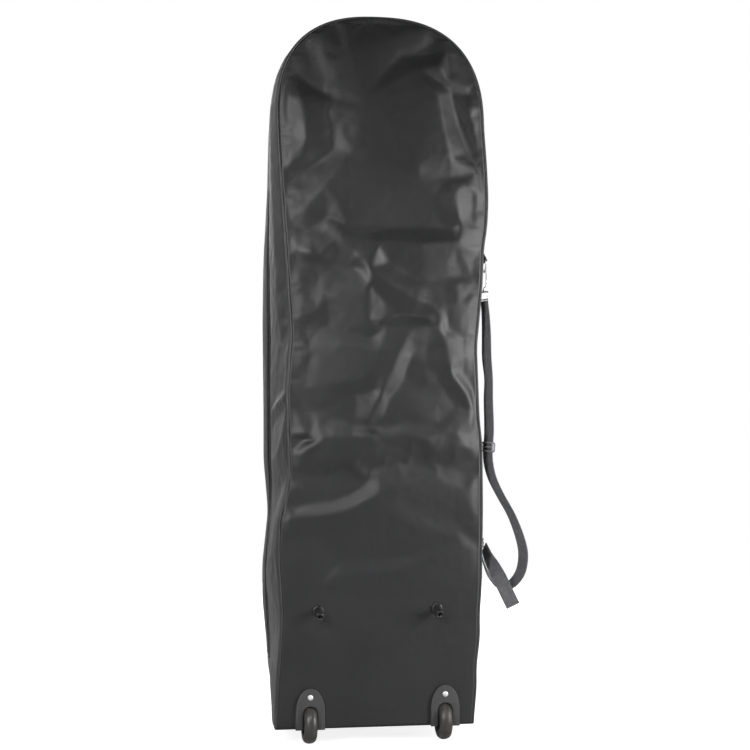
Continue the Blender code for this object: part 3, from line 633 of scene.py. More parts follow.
def slouch(x, z, y):
    """Moves a point of the plain outline to where the soft case has it at that depth."""
    x, z, y = np.broadcast_arrays(*(np.asarray(v, float) for v in (x, z, y)))
    towards_zip = smoothstep(y, BACK, 0.045)
    right = along(BACK_RIGHT, z) * (1 - towards_zip) + HALF * towards_zip
    depth = np.clip((y - BACK) / (FRONT - BACK), 0, 1)
    left = along(BACK_LEFT, z) * (1 - depth) + along(FRONT_LEFT, z) * depth
    side = smoothstep(x / HALF, -1, 1)
    reach = np.where(x > 0, right, left)
    centre = smoothstep(np.abs(x) / HALF, 0.0, 0.6)
    blended = reach * centre + (right * side + left * (1 - side)) * (1 - centre)
    return x / HALF * blended


def outward(x, z):
    """The direction out of the case's side at each point of an outline."""
    ahead = np.stack((np.gradient(x), np.gradient(z)), -1)
    ahead = unit(ahead)
    return np.stack((ahead[:, 1], np.zeros(len(x)), -ahead[:, 0]), -1)


# ---------------------------------------------------------------- folds

RASTER = 0.0025
FOLD_GAIN = 1.3
LINE_STEP = 0.010
PANEL_BOUNDS = (-0.215, 0.0), (0.215, 1.30)
SIDE_BOUNDS = (-0.15, 0.0), (0.07, 1.30)

# Ridges and valleys of the back panel: each line is (x, z, height) points in mm, and the
# cloth runs in soft facets between the lines.
BACK_FOLDS = (
    ((-120, 1235, 0), (0, 1245, 0), (80, 1240, 1)),
    ((43, 1199, -3), (85, 1207, -4), (124, 1220, -3)),
    ((55, 1172, 3), (105, 1186, 3)),
    ((110, 1178, 3), (104, 1160, -1), (101, 1138, 7)),
    ((101, 1138, 7), (121, 1044, 10), (134, 960, 10), (142, 905, 7)),
    ((125, 1150, -2), (144, 1085, -4), (166, 1035, -3), (182, 1000, 0)),
    ((160, 1110, 2), (176, 1060, 2)),
    ((166, 960, 3), (168, 910, 3)),
    ((178, 970, 4), (176, 900, 4)),
    ((-146, 1173, -3), (-115, 1146, -5), (-89, 1122, -3)),
    ((-135, 1120, 5), (-126, 1060, 6), (-130, 1022, 3)),
    ((-134, 996, -4), (-105, 1012, -4), (-80, 1032, -2)),
    ((-128, 930, 3), (-95, 972, 5), (-52, 1030, 4)),
    ((-130, 890, -1), (-90, 915, -2)),
    ((-30, 1120, 2), (20, 1060, 3), (20, 960, 4), (90, 950, 5)),
    ((-80, 899, 1), (-20, 901, -1), (50, 901, -2), (135, 903, 0)),
    ((-73, 876, 2), (0, 872, 7), (70, 870, 9), (137, 876, 8)),
    ((-139, 860, 1), (-120, 856, 5), (-100, 850, 4)),
    ((-140, 838, -1), (-100, 837, -2), (-70, 832, -5), (-41, 827, -3)),
    ((-46, 857, 3), (-11, 822, 8), (25, 795, 8), (62, 775, 8)),
    ((62, 775, 8), (85, 768, 5), (112, 740, 6)),
    ((20, 840, 1), (70, 810, 1), (108, 790, 2)),
    ((-10, 790, 2), (20, 765, 0)),
    ((-18, 805, 5), (-20, 740, 5)),
    ((-100, 815, -4), (-96, 735, -5)),
    ((-150, 800, 2), (-148, 700, 2)),
    ((10, 742, 0), (45, 752, -1), (85, 745, 1)),
    ((-14, 722, 5), (52, 722, 10), (108, 730, 8)),
    ((125, 815, 1), (150, 822, -2), (176, 814, -1)),
    ((138, 800, 4), (146, 735, 5), (152, 680, 3)),
    ((118, 790, 2), (122, 725, 3)),
    ((52, 722, 10), (34, 680, 9), (16, 640, 8), (-20, 561, 4)),
    ((62, 690, 3), (40, 635, 0), (8, 575, 0)),
    ((85, 690, 2), (85, 640, 3), (70, 590, 2)),
    ((108, 728, 8), (132, 640, 8), (176, 580, 5)),
    ((150, 650, 1), (172, 615, 0)),
    ((105, 640, 2), (135, 590, 1)),
    ((-122, 718, -3), (-60, 716, -1), (-14, 708, 2)),
    ((-120, 690, -2), (-60, 696, 4), (0, 684, 9)),
    ((-124, 640, -3), (-60, 630, 2), (-2, 640, 6)),
    ((-130, 618, -2), (-60, 610, -2), (-10, 615, 0)),
    ((-146, 640, 0), (-140, 590, -2)),
    ((-148, 538, 2), (-137, 537, 3), (-124, 538, 2)),
    ((-150, 531, -4), (-137, 530, -5), (-122, 531, -3)),
    ((-120, 560, 0), (-60, 566, -1), (0, 552, -1), (60, 560, 0)),
    ((-118, 520, 6), (-80, 537, 7), (-45, 528, 3), (-20, 538, 6)),
    ((-20, 538, 6), (-32, 512, 5), (-48, 494, 2)),
    ((0, 524, 5), (40, 545, 5), (82, 528, 7), (98, 512, 4)),
    ((82, 528, 7), (55, 518, 2)),
    ((112, 545, 2), (135, 520, 6), (165, 512, 4)),
    ((-150, 505, 1), (-125, 500, 4), (-80, 488, 3), (-62, 478, -3)),
    ((-40, 476, -2), (20, 485, -3), (80, 490, -4), (150, 480, -3)),
    ((-145, 470, -2), (-100, 462, -3)),
    ((-148, 448, 3), (-120, 438, -2)),
    ((100, 462, 2), (150, 440, 3)),
    ((-150, 420, -2), (-85, 428, -3), (-40, 444, -3), (-2, 470, -1)),
    ((-153, 396, 3), (-85, 400, 5), (-40, 412, 5), (5, 438, 4)),
    ((-150, 360, 0), (-80, 362, 1), (10, 392, 1)),
    ((-70, 318, -1), (46, 328, -1.5), (139, 374, -1)),
    ((-73, 292, 2), (46, 300, 3.5), (148, 342, 3)),
    ((-120, 180, 0.6), (-150, 184, 0.2)),
    ((-160, 260, 0), (-110, 270, 0), (0, 250, 0), (160, 260, 0)),
    ((-160, 120, 0), (0, 130, 0), (160, 120, 0)),
)
# The same on the two sides, as (y, z, height). On the left one tuck runs forward and down.
LEFT_FOLDS = (
    ((-126, 1150, -4), (-118, 1000, -8), (-116, 850, -8), (-120, 720, -3)),
    ((-70, 1150, 3), (-60, 1000, 5), (-64, 850, 5), (-70, 740, 6)),
    ((0, 1160, 2), (10, 1000, 4), (6, 850, 4), (0, 740, 5)),
    ((-130, 620, -2), (-60, 608, -3), (50, 584, -3)),
    ((-131, 607, 3), (-60, 592, 4), (50, 569, 3)),
    ((-130, 590, -2), (-60, 572, -3), (50, 552, -2)),
    ((-110, 690, 0), (-50, 660, 3), (20, 640, 3)),
    ((-105, 530, 5), (-60, 500, 5), (10, 490, 3)),
    ((-120, 470, -3), (-70, 440, -5), (-30, 400, -4), (30, 390, -3)),
    ((-90, 340, 4), (-30, 300, 5), (30, 280, 4)),
    ((-110, 210, -2), (-50, 180, -3), (30, 160, -3)),
    ((-80, 100, 2), (20, 90, 2)),
)
RIGHT_FOLDS = (
    ((-100, 1120, 2), (-60, 1020, 5), (0, 960, 4)),
    ((-100, 960, -2), (-50, 900, -3), (20, 860, -1)),
    ((-90, 760, -2), (-40, 740, 3), (15, 720, 1)),
    ((-100, 660, -3), (-50, 640, -2), (10, 600, 0)),
    ((-100, 560, -2), (-50, 530, 4), (10, 500, 1)),
    ((-90, 340, 2), (-30, 300, 5), (20, 270, 3)),
    ((-90, 200, -2), (0, 170, -2)),
    ((-70, 100, 2), (10, 90, 2)),
)
FRONT_FOLDS = (
    ((-140, 1150, 1), (-60, 1000, 2), (20, 900, 1)),
    ((-100, 960, -1), (-20, 860, -2)),
    ((40, 1020, 2), (120, 900, 2), (160, 800, 1)),
    ((-150, 820, 2), (-50, 760, 3), (60, 780, 2), (150, 740, 1)),
    ((-150, 700, -1), (-30, 690, -2), (110, 680, -2)),
    ((-160, 620, 2), (0, 640, 2), (160, 620, 2)),
    ((-155, 400, 2), (-150, 300, -1)),
    ((155, 420, 2), (150, 320, -1)),
    ((-120, 175, 1), (0, 165, 2), (120, 178, 1)),
)


class Folds:
    """A height field over a panel, from ridge and valley lines."""

    def __init__(self, lines, low, high, softness=1.2):
        self.low = np.array(low, float)
        size = ((np.array(high) - self.low) / RASTER).astype(int) + 1
        points, heights = [], []
        for line in lines:
            line = np.array(line, float) / (1000, 1000, 1)
            run = np.r_[0, np.cumsum(np.hypot(*np.diff(line[:, :2], axis=0).T))]
            spots = np.linspace(0, run[-1], max(2, int(run[-1] / LINE_STEP) + 1))
            for x, z, height in sampled(line, run, spots):
                points.append([x, z])
                heights.append(height / 1000)
        for t in np.linspace(0, 1, 9):
            x = low[0] + (high[0] - low[0]) * t
            z = low[1] + (high[1] - low[1]) * t
            for edge in ((x, low[1]), (x, high[1]), (low[0], z), (high[0], z)):
                points.append(list(edge))
                heights.append(0.0)
        made = delaunay_2d_cdt([Vector(p) for p in points], [], [], 0, 1e-6)
        places = np.array([tuple(p) for p in made[0]])
        values = np.array([heights[origin[0]] for origin in made[3]])
        field = np.zeros(size)
        for face in made[2]:
            self.fill(field, places[face], values[face])
        self.field = self.blur(field, softness)

    def fill(self, field, corners, values):
        """Writes one flat facet into the field."""
        cells = (corners - self.low) / RASTER
        first = np.maximum(np.ceil(cells.min(0)).astype(int), 0)
        last = np.minimum(np.floor(cells.max(0)).astype(int), np.array(field.shape) - 1)
        if (last < first).any():
            return
        i, j = np.mgrid[first[0] : last[0] + 1, first[1] : last[1] + 1]
        a, b, c = cells
        area = (b[0] - a[0]) * (c[1] - a[1]) - (c[0] - a[0]) * (b[1] - a[1])
        if abs(area) < 1e-9:
            return
        p = ((b[0] - i) * (c[1] - j) - (c[0] - i) * (b[1] - j)) / area
        q = ((c[0] - i) * (a[1] - j) - (a[0] - i) * (c[1] - j)) / area
        inside = (p >= -1e-6) & (q >= -1e-6) & (p + q <= 1 + 1e-6)
        height = p * values[0] + q * values[1] + (1 - p - q) * values[2]
        field[i[inside], j[inside]] = height[inside]

    def blur(self, field, softness):
        reach = np.arange(-6, 7)
        kernel = np.exp(-0.5 * (reach / softness) ** 2)
        kernel /= kernel.sum()
        for axis in (0, 1):
            field = np.apply_along_axis(
                lambda row: np.convolve(np.pad(row, 6, "edge"), kernel, "valid"), axis, field
            )
        return field

    def __call__(self, a, b):
        at = (np.stack(np.broadcast_arrays(a, b), -1) - self.low) / RASTER
        at = np.clip(at, 0, np.array(self.field.shape) - 1.001)
        i, j = at.astype(int)[..., 0], at.astype(int)[..., 1]
        s, t = at[..., 0] - i, at[..., 1] - j
        near = self.field[i, j] * (1 - s) + self.field[i + 1, j] * s
        far = self.field[i, j + 1] * (1 - s) + self.field[i + 1, j + 1] * s
        return near * (1 - t) + far * t


def rumple(a, b, scale, seed, ridged=False):
    """Smooth noise over a surface, about -1 to 1, or sharp-edged crumples."""
    a, b = np.broadcast_arrays(a, b)
    values = np.array([
        noise.noise(Vector((u * scale, v * scale, seed)))
        + 0.5 * noise.noise(Vector((u * scale * 2.1, v * scale * 2.1, seed + 9.0)))
        for u, v in zip(a.ravel(), b.ravel())
    ]).reshape(a.shape)
    return 0.5 - np.abs(values) * 1.6 if ridged else values


# ---------------------------------------------------------------- skins


CLOTH_FRAMES = 20
CLOTH_STIFFNESS = 30.0
CLOTH_SHEAR = 12.0
CLOTH_BENDING = 4.0
CLOTH_MASS = 0.15
CLOTH_SPREAD = 0.012


def settled(points, held, slack, pressure, cap):
    """Where sewn-in cloth comes to rest: cut too large, held at its seams and pushed out."""
    rows, columns = points.shape[:2]
    i, j = np.arange(0, rows, 2), np.arange(0, columns, 2)
    start = points[np.ix_(i, j)].copy()
    start[..., 0] += np.linspace(-CLOTH_SPREAD, CLOTH_SPREAD, len(j))
    mesh = bpy.data.meshes.new("cloth_at_work")
    mesh.from_pydata([tuple(p) for p in start.reshape(-1, 3)], [], grid_faces(len(i), len(j)))
    cloth = add_object("cloth_at_work", mesh)
    group = cloth.vertex_groups.new(name="held")
    for index, weight in enumerate(held[np.ix_(i, j)].ravel()):
        if weight > 0.001:
            group.add([index], float(weight), "REPLACE")
    modifier = cloth.modifiers.new("cloth", "CLOTH")
    settings = modifier.settings
    settings.quality = 5
    settings.mass = CLOTH_MASS
    settings.tension_stiffness = settings.compression_stiffness = CLOTH_STIFFNESS
    settings.shear_stiffness = CLOTH_SHEAR
    settings.bending_stiffness = CLOTH_BENDING
    settings.vertex_group_mass = group.name
    settings.shrink_min = -slack
    settings.use_pressure = True
    settings.uniform_pressure_force = pressure
    settings.effector_weights.gravity = 0.0
    modifier.collision_settings.use_collision = False
    modifier.point_cache.frame_start = 1
    modifier.point_cache.frame_end = CLOTH_FRAMES
    scene = bpy.context.scene
    for frame in range(1, CLOTH_FRAMES + 1):
        scene.frame_set(frame)
    rested = cloth.evaluated_get(bpy.context.evaluated_depsgraph_get())
    places = np.zeros(start.size)
    rested.data.vertices.foreach_get("co", places)
    moved = places.reshape(start.shape) - start
    scene.frame_set(1)
    bpy.data.objects.remove(cloth)
    bpy.data.meshes.remove(mesh)
    length = np.linalg.norm(moved, axis=-1, keepdims=True)
    moved *= np.minimum(1.0, cap / np.maximum(length, 1e-9))
    a = np.clip(np.arange(rows) / 2, 0, len(i) - 1.001)
    b = np.clip(np.arange(columns) / 2, 0, len(j) - 1.001)
    low_a, low_b = a.astype(int), b.astype(int)
    s, t = (a - low_a)[:, None, None], (b - low_b)[None, :, None]
    near = moved[low_a][:, low_b] * (1 - s) + moved[low_a + 1][:, low_b] * s
    far = moved[low_a][:, low_b + 1] * (1 - s) + moved[low_a + 1][:, low_b + 1] * s
    return points + near * (1 - t) + far * t


def back_held(z, u):
    """How firmly each point of the back panel is held: at its seams, and over its board."""
    rim = np.minimum(u, 1 - u) * 2 * HALF
    held = 1 - smoothstep(rim, 0.004, 0.012)
    held = np.maximum(held, 1 - smoothstep(TOP - SEAM_INSET - z, 0.004, 0.014))
    return np.maximum(held, 1 - smoothstep(z, 0.10, 0.34))


BELT_Z, BELT_REACH = 0.515, 0.045
SHELF_Z, SHELF_REACH = 0.86, 0.05


def back_height(x, z, u):
    """How far the back panel stands out, over its seam line."""
    folds = Folds(BACK_FOLDS, *PANEL_BOUNDS)
    free = smoothstep(z, 0.10, 0.46)
    pillow = (1 - np.abs(2 * u - 1) ** 3.2) * (0.0010 + 0.005 * smoothstep(z, 0.36, 0.60))
    pillow *= 1 - 0.6 * smoothstep(z, 1.12, 1.27)
    height = pillow + FOLD_GAIN * folds(x, z)
    height += 0.0006 * free * rumple(x, z, 16.0, 3.0)
    belt = np.exp(-(((z - BELT_Z) / BELT_REACH) ** 2))
    shelf = np.exp(-(((z - SHELF_Z) / SHELF_REACH) ** 2))
    height += 0.0032 * (belt + 0.45 * shelf) * rumple(x, z, 15.0, 21.0, ridged=True)
    fine = 0.0004 * free * (1 - 0.5 * smoothstep(z, 1.0, 1.2))
    height += fine * rumple(x, z, 30.0, 5.0, ridged=True)
    for side, _ in SIDES:
        away = np.hypot(x - side * PEG_X, z - PEG_Z)
        height *= smoothstep(away, 0.012, 0.05)
        away = np.hypot(x - side * WHEEL_X, (z - 0.05) * 0.8)
        height *= smoothstep(away, 0.030, 0.075)
    rim = np.minimum(u, 1 - u) * 2 * HALF
    height *= smoothstep(rim, -0.004, 0.020)
    return np.maximum(height, -0.0002)


def panel_grid(count, columns, y, low=BOTTOM):
    """The x and z of a panel's grid at one depth, and how far across it each column is."""
    px, pz = outline(count)
    rows = count // 2 + 1
    keep = pz[:rows] >= low
    edge_z = pz[:rows][keep]
    shrink = 1 - SEAM_INSET / HALF
    right_x = slouch(px[:rows][keep], edge_z, y) * shrink
    left_x = slouch(px[::-1][:rows][keep], edge_z, y) * shrink
    u = np.linspace(0, 1, columns)[None, :]
    x = left_x[:, None] * (1 - u) + right_x[:, None] * u
    z = edge_z - SEAM_INSET * smoothstep(edge_z, SPRING, TOP)
    return x, np.broadcast_to(z[:, None], x.shape), np.broadcast_to(u, x.shape)


def cell_middles(points):
    """The middle of each cell of a grid of points."""
    return (points[:-1, :-1] + points[1:, 1:]) / 2


def make_back():
    """The back panel: folded, settled, and cut out round the wheels."""
    x, z, u = panel_grid(OUTLINE_POINTS, 95, BACK)
    along_edge = np.arange(len(x))[:, None] / (len(x) - 1)
    y = BACK + 0.0010 - back_height(x, z, u) * (1 - smoothstep(along_edge, 0.985, 1.0))
    points = np.stack((x, y, z), -1)
    middle = cell_middles(points)
    well = (np.abs(np.abs(middle[..., 0]) - WHEEL_X) < 0.0185) & (middle[..., 2] < 0.078)
    rested = settled(points, back_held(z, u), slack=0.004, pressure=0.35, cap=0.012)
    points = points + (rested - points) * smoothstep(points[..., 2:], 0.27, 0.50)
    cloth_piece(
        "back_cloth", points, "case", uv=np.stack((x, z), -1), keep=~well,
        replaces=["back_panel"],
    )


def side_points(start_y, end_y, columns, folds=True):
    """The cloth round the case's edge, from one depth to another."""
    px, pz = outline(OUTLINE_POINTS)
    y = np.linspace(start_y, end_y, columns)[None, :]
    x = slouch(px[:, None], pz[:, None], y)
    z = np.broadcast_to(pz[:, None], x.shape)
    right = (px > 0)[:, None]
    across = (y - start_y) / (end_y - start_y)
    if folds:
        left_field = Folds(LEFT_FOLDS, *SIDE_BOUNDS)
        right_field = Folds(RIGHT_FOLDS, *SIDE_BOUNDS)
        lift = np.where(right, right_field(y, z), left_field(y, z))
        lift = lift + 0.003 * np.sin(np.pi * across)
        lift = lift + 0.0012 * rumple(y + px[:, None], z, 26.0, 40.0, ridged=True)
        for tab_y, tab_z in TAB_CENTRES:
            away = np.hypot(y - tab_y, (z - tab_z) * 0.7)
            lift = np.where(right, lift * smoothstep(away, 0.012, 0.04), lift)
        right_hold = smoothstep(np.minimum(across, 1 - across), 0.0, 0.22)
        left_hold = smoothstep(across, 0.0, 0.08) * smoothstep(1 - across, 0.0, 0.15)
        lift = lift * np.where(right, right_hold, left_hold)
    else:
        lift = 0.0015 * np.sin(np.pi * across) * (1 + rumple(y + px[:, None], z, 14.0, 60.0))
    out = outward(px, pz)[:, None] * (lift - CLOTH / 2)[..., None]
    return np.stack((x, np.broadcast_to(y, x.shape), z), -1) + out


def ring_dip(points):
    """Draws the cloth in under the sewn tabs, so that they lie on it."""
    x, y, z = points[..., 0], points[..., 1], points[..., 2]
    for tab_y, tab_z in TAB_CENTRES:
        near = np.exp(-(((y - tab_y) / 0.020) ** 2) - (((z - tab_z) / 0.050) ** 2))
        pull = np.maximum(x - (HALF - 0.0008), 0) * near
        points[..., 0] = np.where(x > 0.1, x - pull, x)
    return points


def make_sides():
    """The cloth round the case's edge, on both sides of the zip."""
    rear = ring_dip(side_points(BACK + 0.0045, ZIP_Y - TAPE_EDGE, 40))
    cloth_piece("rear_side_cloth", rear, "case", replaces=["gusset"])
    front = side_points(ZIP_Y + TAPE_EDGE, FRONT - 0.0045, 12, folds=False)
    front = front[outline(OUTLINE_POINTS)[1] > FLAP_BOTTOM]
    cloth_piece("front_side_cloth", front, "flap", replaces=["flap_gusset"])


def seam_line(y, inset, low, count=OUTLINE_POINTS):
    """A line round the case at one depth, a little inside its outer face."""
    px, pz = outline(count)
    keep = pz >= low - 1e-6
    px, pz = px[keep], pz[keep]
    out = outward(px, pz)
    line = np.stack((slouch(px, pz, y), np.full(len(px), y), pz), -1)
    return line - out * inset, out


def make_piping():
    """The piping along the back's and the front's edges, and the seams beside it."""
    line, out = seam_line(BACK + 0.0022, 0.0024, BOTTOM)
    tube("back_piping_cord", line, PIPING, "piping", "case", sides=12, replaces=["back_piping"])
    line, out = seam_line(BACK + 0.0085, -0.0002, BOTTOM + 0.004)
    stitches("rear_seam_thread", ring_dip(line.copy()), out, "case")
    line, out = seam_line(FRONT - 0.0022, 0.0024, FLAP_BOTTOM)
    tube("front_piping_cord", line, PIPING, "piping", "flap", sides=12, replaces=["front_piping"])
    line, out = seam_line(FRONT - 0.0085, -0.0002, FLAP_BOTTOM + 0.004)
    stitches("front_seam_thread", line, out, "flap")


def make_zip():
    """Two tapes round the case with a coil between them, and seams that hold them."""
    pitch, reach = 0.0022, 0.0012
    drop = np.array([0.0026, 0.0022, 0.0017, 0.0013, 0.0013, 0.0013])
    px, pz = outline(OUTLINE_POINTS)
    keep = pz >= FLAP_BOTTOM
    px, pz = px[keep], pz[keep]
    for side, body in ((-1, "case"), (1, "flap")):
        y = ZIP_Y + side * np.linspace(TAPE_EDGE + 0.0015, reach, len(drop))[None, :]
        x = slouch(px[:, None], pz[:, None], y)
        spread = np.broadcast_to(y, x.shape), np.broadcast_to(pz[:, None], x.shape)
        points = np.stack((x, *spread), -1) - outward(px, pz)[:, None] * drop[None, :, None]
        cloth_piece(
            f"zip_{body}_tape", points, body, "zip_tape", replaces=[f"zip_tape_{body}"],
            thickness=0.0009,
        )
        line, out = seam_line(ZIP_Y + side * reach, 0.0012, FLAP_BOTTOM + 0.002, 5000)
        run = travelled(line)
        spots = np.arange(0.0005 + (pitch / 2 if side > 0 else 0), run[-1], pitch)
        places, outs = sampled(line, run, spots), unit(sampled(out, run, spots))
        depth = np.broadcast_to((0.0, 1.0, 0.0), places.shape)
        size = (0.0040, 0.0013, 0.0022)
        blocks(f"zip_{body}_coil", places, depth, outs, size, "zip_coil", body)
        line, out = seam_line(ZIP_Y + side * (TAPE_EDGE + 0.0035), -0.0003, FLAP_BOTTOM + 0.004)
        stitches(f"zip_{body}_thread", line, out, body)


def make_front():
    """The flap's front panel, kept flat behind the handle and the pocket."""
    x, z, u = panel_grid(421, 61, FRONT, FLAP_BOTTOM)
    lift = Folds(FRONT_FOLDS, *PANEL_BOUNDS, 3.0)(x, z) * 0.8
    lift = lift + 0.0010 * rumple(x, z, 22.0, 70.0, ridged=True)
    rim = np.minimum(u, 1 - u) * 2 * HALF
    lift = lift * smoothstep(rim, 0.0, 0.03) * smoothstep(z, FLAP_BOTTOM, 0.16)
    lift = lift * (1 - smoothstep(np.arange(len(z))[:, None] / (len(z) - 1), 0.97, 1.0))
    handle = smoothstep(np.abs(x), 0.09, 0.06) * smoothstep(np.abs(z - 1.11), 0.09, 0.05)
    lift = np.minimum(lift, 0.0030) * (1 - np.clip(handle, 0, 1))
    behind = (np.abs(x) < 0.137) & (z < 0.602)
    y = FRONT - 0.0010 + np.where(behind, np.minimum(lift, 0.0), lift)
    cloth_piece(
        "front_cloth", np.stack((x, y, z), -1), "flap", uv=np.stack((x, z), -1),
        replaces=["front_panel"],
    )


def make_kick_panel():
    """The low front wall below the flap, with its returns round both sides."""
    corner, skin = 0.014, 0.0008
    start = ZIP_Y - TAPE_EDGE
    path = [(0.0, y) for y in (start, *np.linspace(start + 0.006, FRONT - corner, 12))]
    for t in np.linspace(0, math.pi / 2, 8)[1:]:
        path.append((corner * (1 - math.cos(t)), FRONT - corner + corner * math.sin(t)))
    heights = np.linspace(BOTTOM, KICK_TOP, 24)
    points = []
    for z in heights:
        right = [(float(slouch(HALF, z, y)) - skin - cut, y - skin, z) for cut, y in path]
        left = [(float(slouch(-HALF, z, y)) + skin + cut, y - skin, z) for cut, y in path]
        front = []
        for t in np.linspace(1, -1, 41):
            side = HALF if t > 0 else -HALF
            reach = abs(float(slouch(side, z, FRONT))) - corner - 0.002
            front.append((reach * t, FRONT - skin, z))
        points.append(right + front + left[::-1])
    points = np.array(points)
    swell = 0.0012 * np.sin(np.linspace(0, math.pi, len(heights)))[:, None]
    fullness = swell * (1 + rumple(points[..., 0], points[..., 2], 30.0, 80.0))
    on_front = slice(len(path), -len(path))
    points[:, on_front, 1] += fullness[:, on_front]
    cloth_piece("kick_cloth", points, "case", replaces=["kick_panel"])


def make_hinge_binding():
    """The tape over the fold between the kick panel and the flap, and its two seams."""
    middle, half = 0.1215, 0.012
    z = np.linspace(KICK_TOP - half, FLAP_BOTTOM + half, 15)
    right = float(slouch(HALF, 0.121, FRONT)) - 0.016
    left = float(slouch(-HALF, 0.121, FRONT)) + 0.016
    x = np.linspace(left, right, 60)
    gx, gz = np.meshgrid(x, z)
    bow = np.clip((half - np.abs(gz - middle)) / half, 0, 1) * 0.0006
    points = np.stack((gx, FRONT + 0.0012 + bow, gz), -1)
    binding = cloth_piece("hinge_binding", points, None, thickness=0.0012)
    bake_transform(binding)
    for word, body, height in (
        ("low", "case", KICK_TOP - 0.0100), ("high", "flap", FLAP_BOTTOM + 0.0100),
    ):
        line = [(place, FRONT + 0.0019, height) for place in x[1:-1]]
        stitches(f"binding_{word}_thread", line, (0, 1, 0), body)


def make_base():
    """The base cloth and its board, cut out round the wheels."""
    well_end, half_well, half_base = 0.0805, 0.0162, 0.17
    well_edge = WHEEL_X + half_well
    marks = [side * (WHEEL_X + d) for side in (-1, 1) for d in (-half_well, half_well)]
    marks = np.sort(np.r_[np.linspace(-1, 1, 37) * half_base, marks])
    behind = np.linspace(BACK + 0.004, -well_end, 12)
    y = np.r_[behind, np.linspace(-well_end + 0.006, FRONT - 0.003, 36)]
    outer = np.abs(marks) > well_edge + 1e-6
    share = (np.abs(marks) - well_edge) / (half_base - well_edge)
    for name, finish, height, thickness, inset, node in (
        ("base_cloth", "polyester", BOTTOM - 0.0012, CLOTH, 0.001, "base_panel"),
        ("base_stiffener", "lining", BOTTOM + 0.0016, 0.0028, 0.010, "base_board"),
    ):
        right, left = slouch(HALF, 0.03, y)[:, None], -slouch(-HALF, 0.03, y)[:, None]
        reach = np.where(marks > 0, right, left)
        stretched = np.sign(marks) * (well_edge + share * (reach - inset - well_edge))
        x = np.where(outer, stretched, marks)
        depth = np.broadcast_to(y[:, None], x.shape)
        if node == "base_board":
            depth = np.clip(depth, BACK + 0.008, FRONT - 0.010)
        points = np.stack((x, depth, np.full(x.shape, height)), -1)
        middle = cell_middles(points)
        well = np.abs(np.abs(middle[..., 0]) - WHEEL_X) < half_well
        well &= middle[..., 1] < -well_end + 0.002
        cloth_piece(
            name, points, "case", finish, keep=~well, replaces=[node], thickness=thickness
        )


def make_back_stiffener():
    """The board behind the back's lower part."""
    z = np.linspace(BOTTOM + 0.006, 0.420, 90)[:, None]
    u = np.linspace(-1, 1, 60)[None, :]
    right = slouch(HALF, z, BACK) - 0.010
    left = -slouch(-HALF, z, BACK) - 0.010
    x = np.where(u > 0, right * u, left * u)
    points = np.stack((x, np.full(x.shape, BACK + 0.0040), np.broadcast_to(z, x.shape)), -1)
    middle = cell_middles(points)
    well = (np.abs(np.abs(middle[..., 0]) - WHEEL_X) < 0.0190) & (middle[..., 2] < 0.079)
    cloth_piece(
        "back_stiffener", points, "case", "lining", keep=~well, replaces=["back_board"],
        thickness=0.0026,
    )


def make_arch_padding():
    """The foam inside the arch, quilted across at even steps."""
    sides, quilt_step = 48, 0.045
    px, pz = outline(OUTLINE_POINTS)
    keep = pz >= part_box("top_padding")[0].z
    px, pz = px[keep], pz[keep]
    out = outward(px, pz)
    rear, fore = BACK + 0.008, ZIP_Y - 0.024
    turn = np.linspace(0, 2 * math.pi, sides, endpoint=False)
    across = np.sign(np.cos(turn)) * np.abs(np.cos(turn)) ** 0.5 * (fore - rear) / 2
    lift = np.sign(np.sin(turn)) * np.abs(np.sin(turn)) ** 0.5
    run = np.r_[0, np.cumsum(np.hypot(np.diff(px), np.diff(pz)))]
    quilt = 0.75 + 0.25 * np.abs(np.sin(run / quilt_step * math.pi)) ** 0.6
    ends = np.minimum(run, run[-1] - run)
    quilt = quilt * np.clip(ends / 0.010, 0.15, 1) ** 0.5
    rings = np.zeros((len(px), sides, 3))
    for j, depth in enumerate((fore + rear) / 2 + across):
        drop = 0.0080 - 0.0048 * lift[j] * quilt
        line = np.stack((slouch(px, pz, depth), np.full(len(px), depth), pz), -1)
        rings[:, j] = line - out * drop[:, None]
    faces = []
    for i in range(len(px) - 1):
        for j in range(sides):
            here, k = i * sides, (j + 1) % sides
            faces.append((here + j, here + k, here + sides + k, here + sides + j))
    faces.append(tuple(range(sides - 1, -1, -1)))
    faces.append(tuple((len(px) - 1) * sides + j for j in range(sides)))
    pad = new_piece("arch_padding", rings, faces, "lining", "case", replaces=["top_padding"])


# ---------------------------------------------------------------- wheels and pegs


def arc(cx, cz, radius, start, end, steps):
    angles = np.radians(np.linspace(start, end, steps + 1))
    return [(cx + radius * math.cos(a), cz + radius * math.sin(a)) for a in angles]


HOUSING_ARCH = 0.056
HOUSING_TOP = 0.0984
HOUSING_LOW = 0.0262
SLOT_HALF = 0.0126
SLOT_ARCH = 0.0545
# Turned profiles, as (radius, height) points.
RIVET_DOME = (
    (0.0, 0.0066), (0.0012, 0.0065), (0.0026, 0.0061), (0.0038, 0.0054),
    (0.0047, 0.0046), (0.0053, 0.0037), (0.0054, 0.0030), (0.0, 0.0030),
)
PEG_FLANGE = (
    (0.0, 0.0026), (0.0062, 0.0026), (0.0085, 0.0023), (0.0098, 0.0014),
    (0.0101, 0.0003), (0.0, 0.0003),
)
PEG_BOBBIN = (
    (0.0, 0.0175), (0.0036, 0.0176), (0.0038, 0.0240), (0.0052, 0.0247),
    (0.0068, 0.0246), (0.0077, 0.0237), (0.0079, 0.0220), (0.0079, 0.0160),
    (0.0076, 0.0146), (0.0068, 0.0138), (0.0058, 0.0132), (0.0053, 0.0120),
    (0.0052, 0.0060), (0.0054, 0.0030), (0.0060, 0.0014), (0.0062, 0.0),
    (0.0, -0.0002),
)
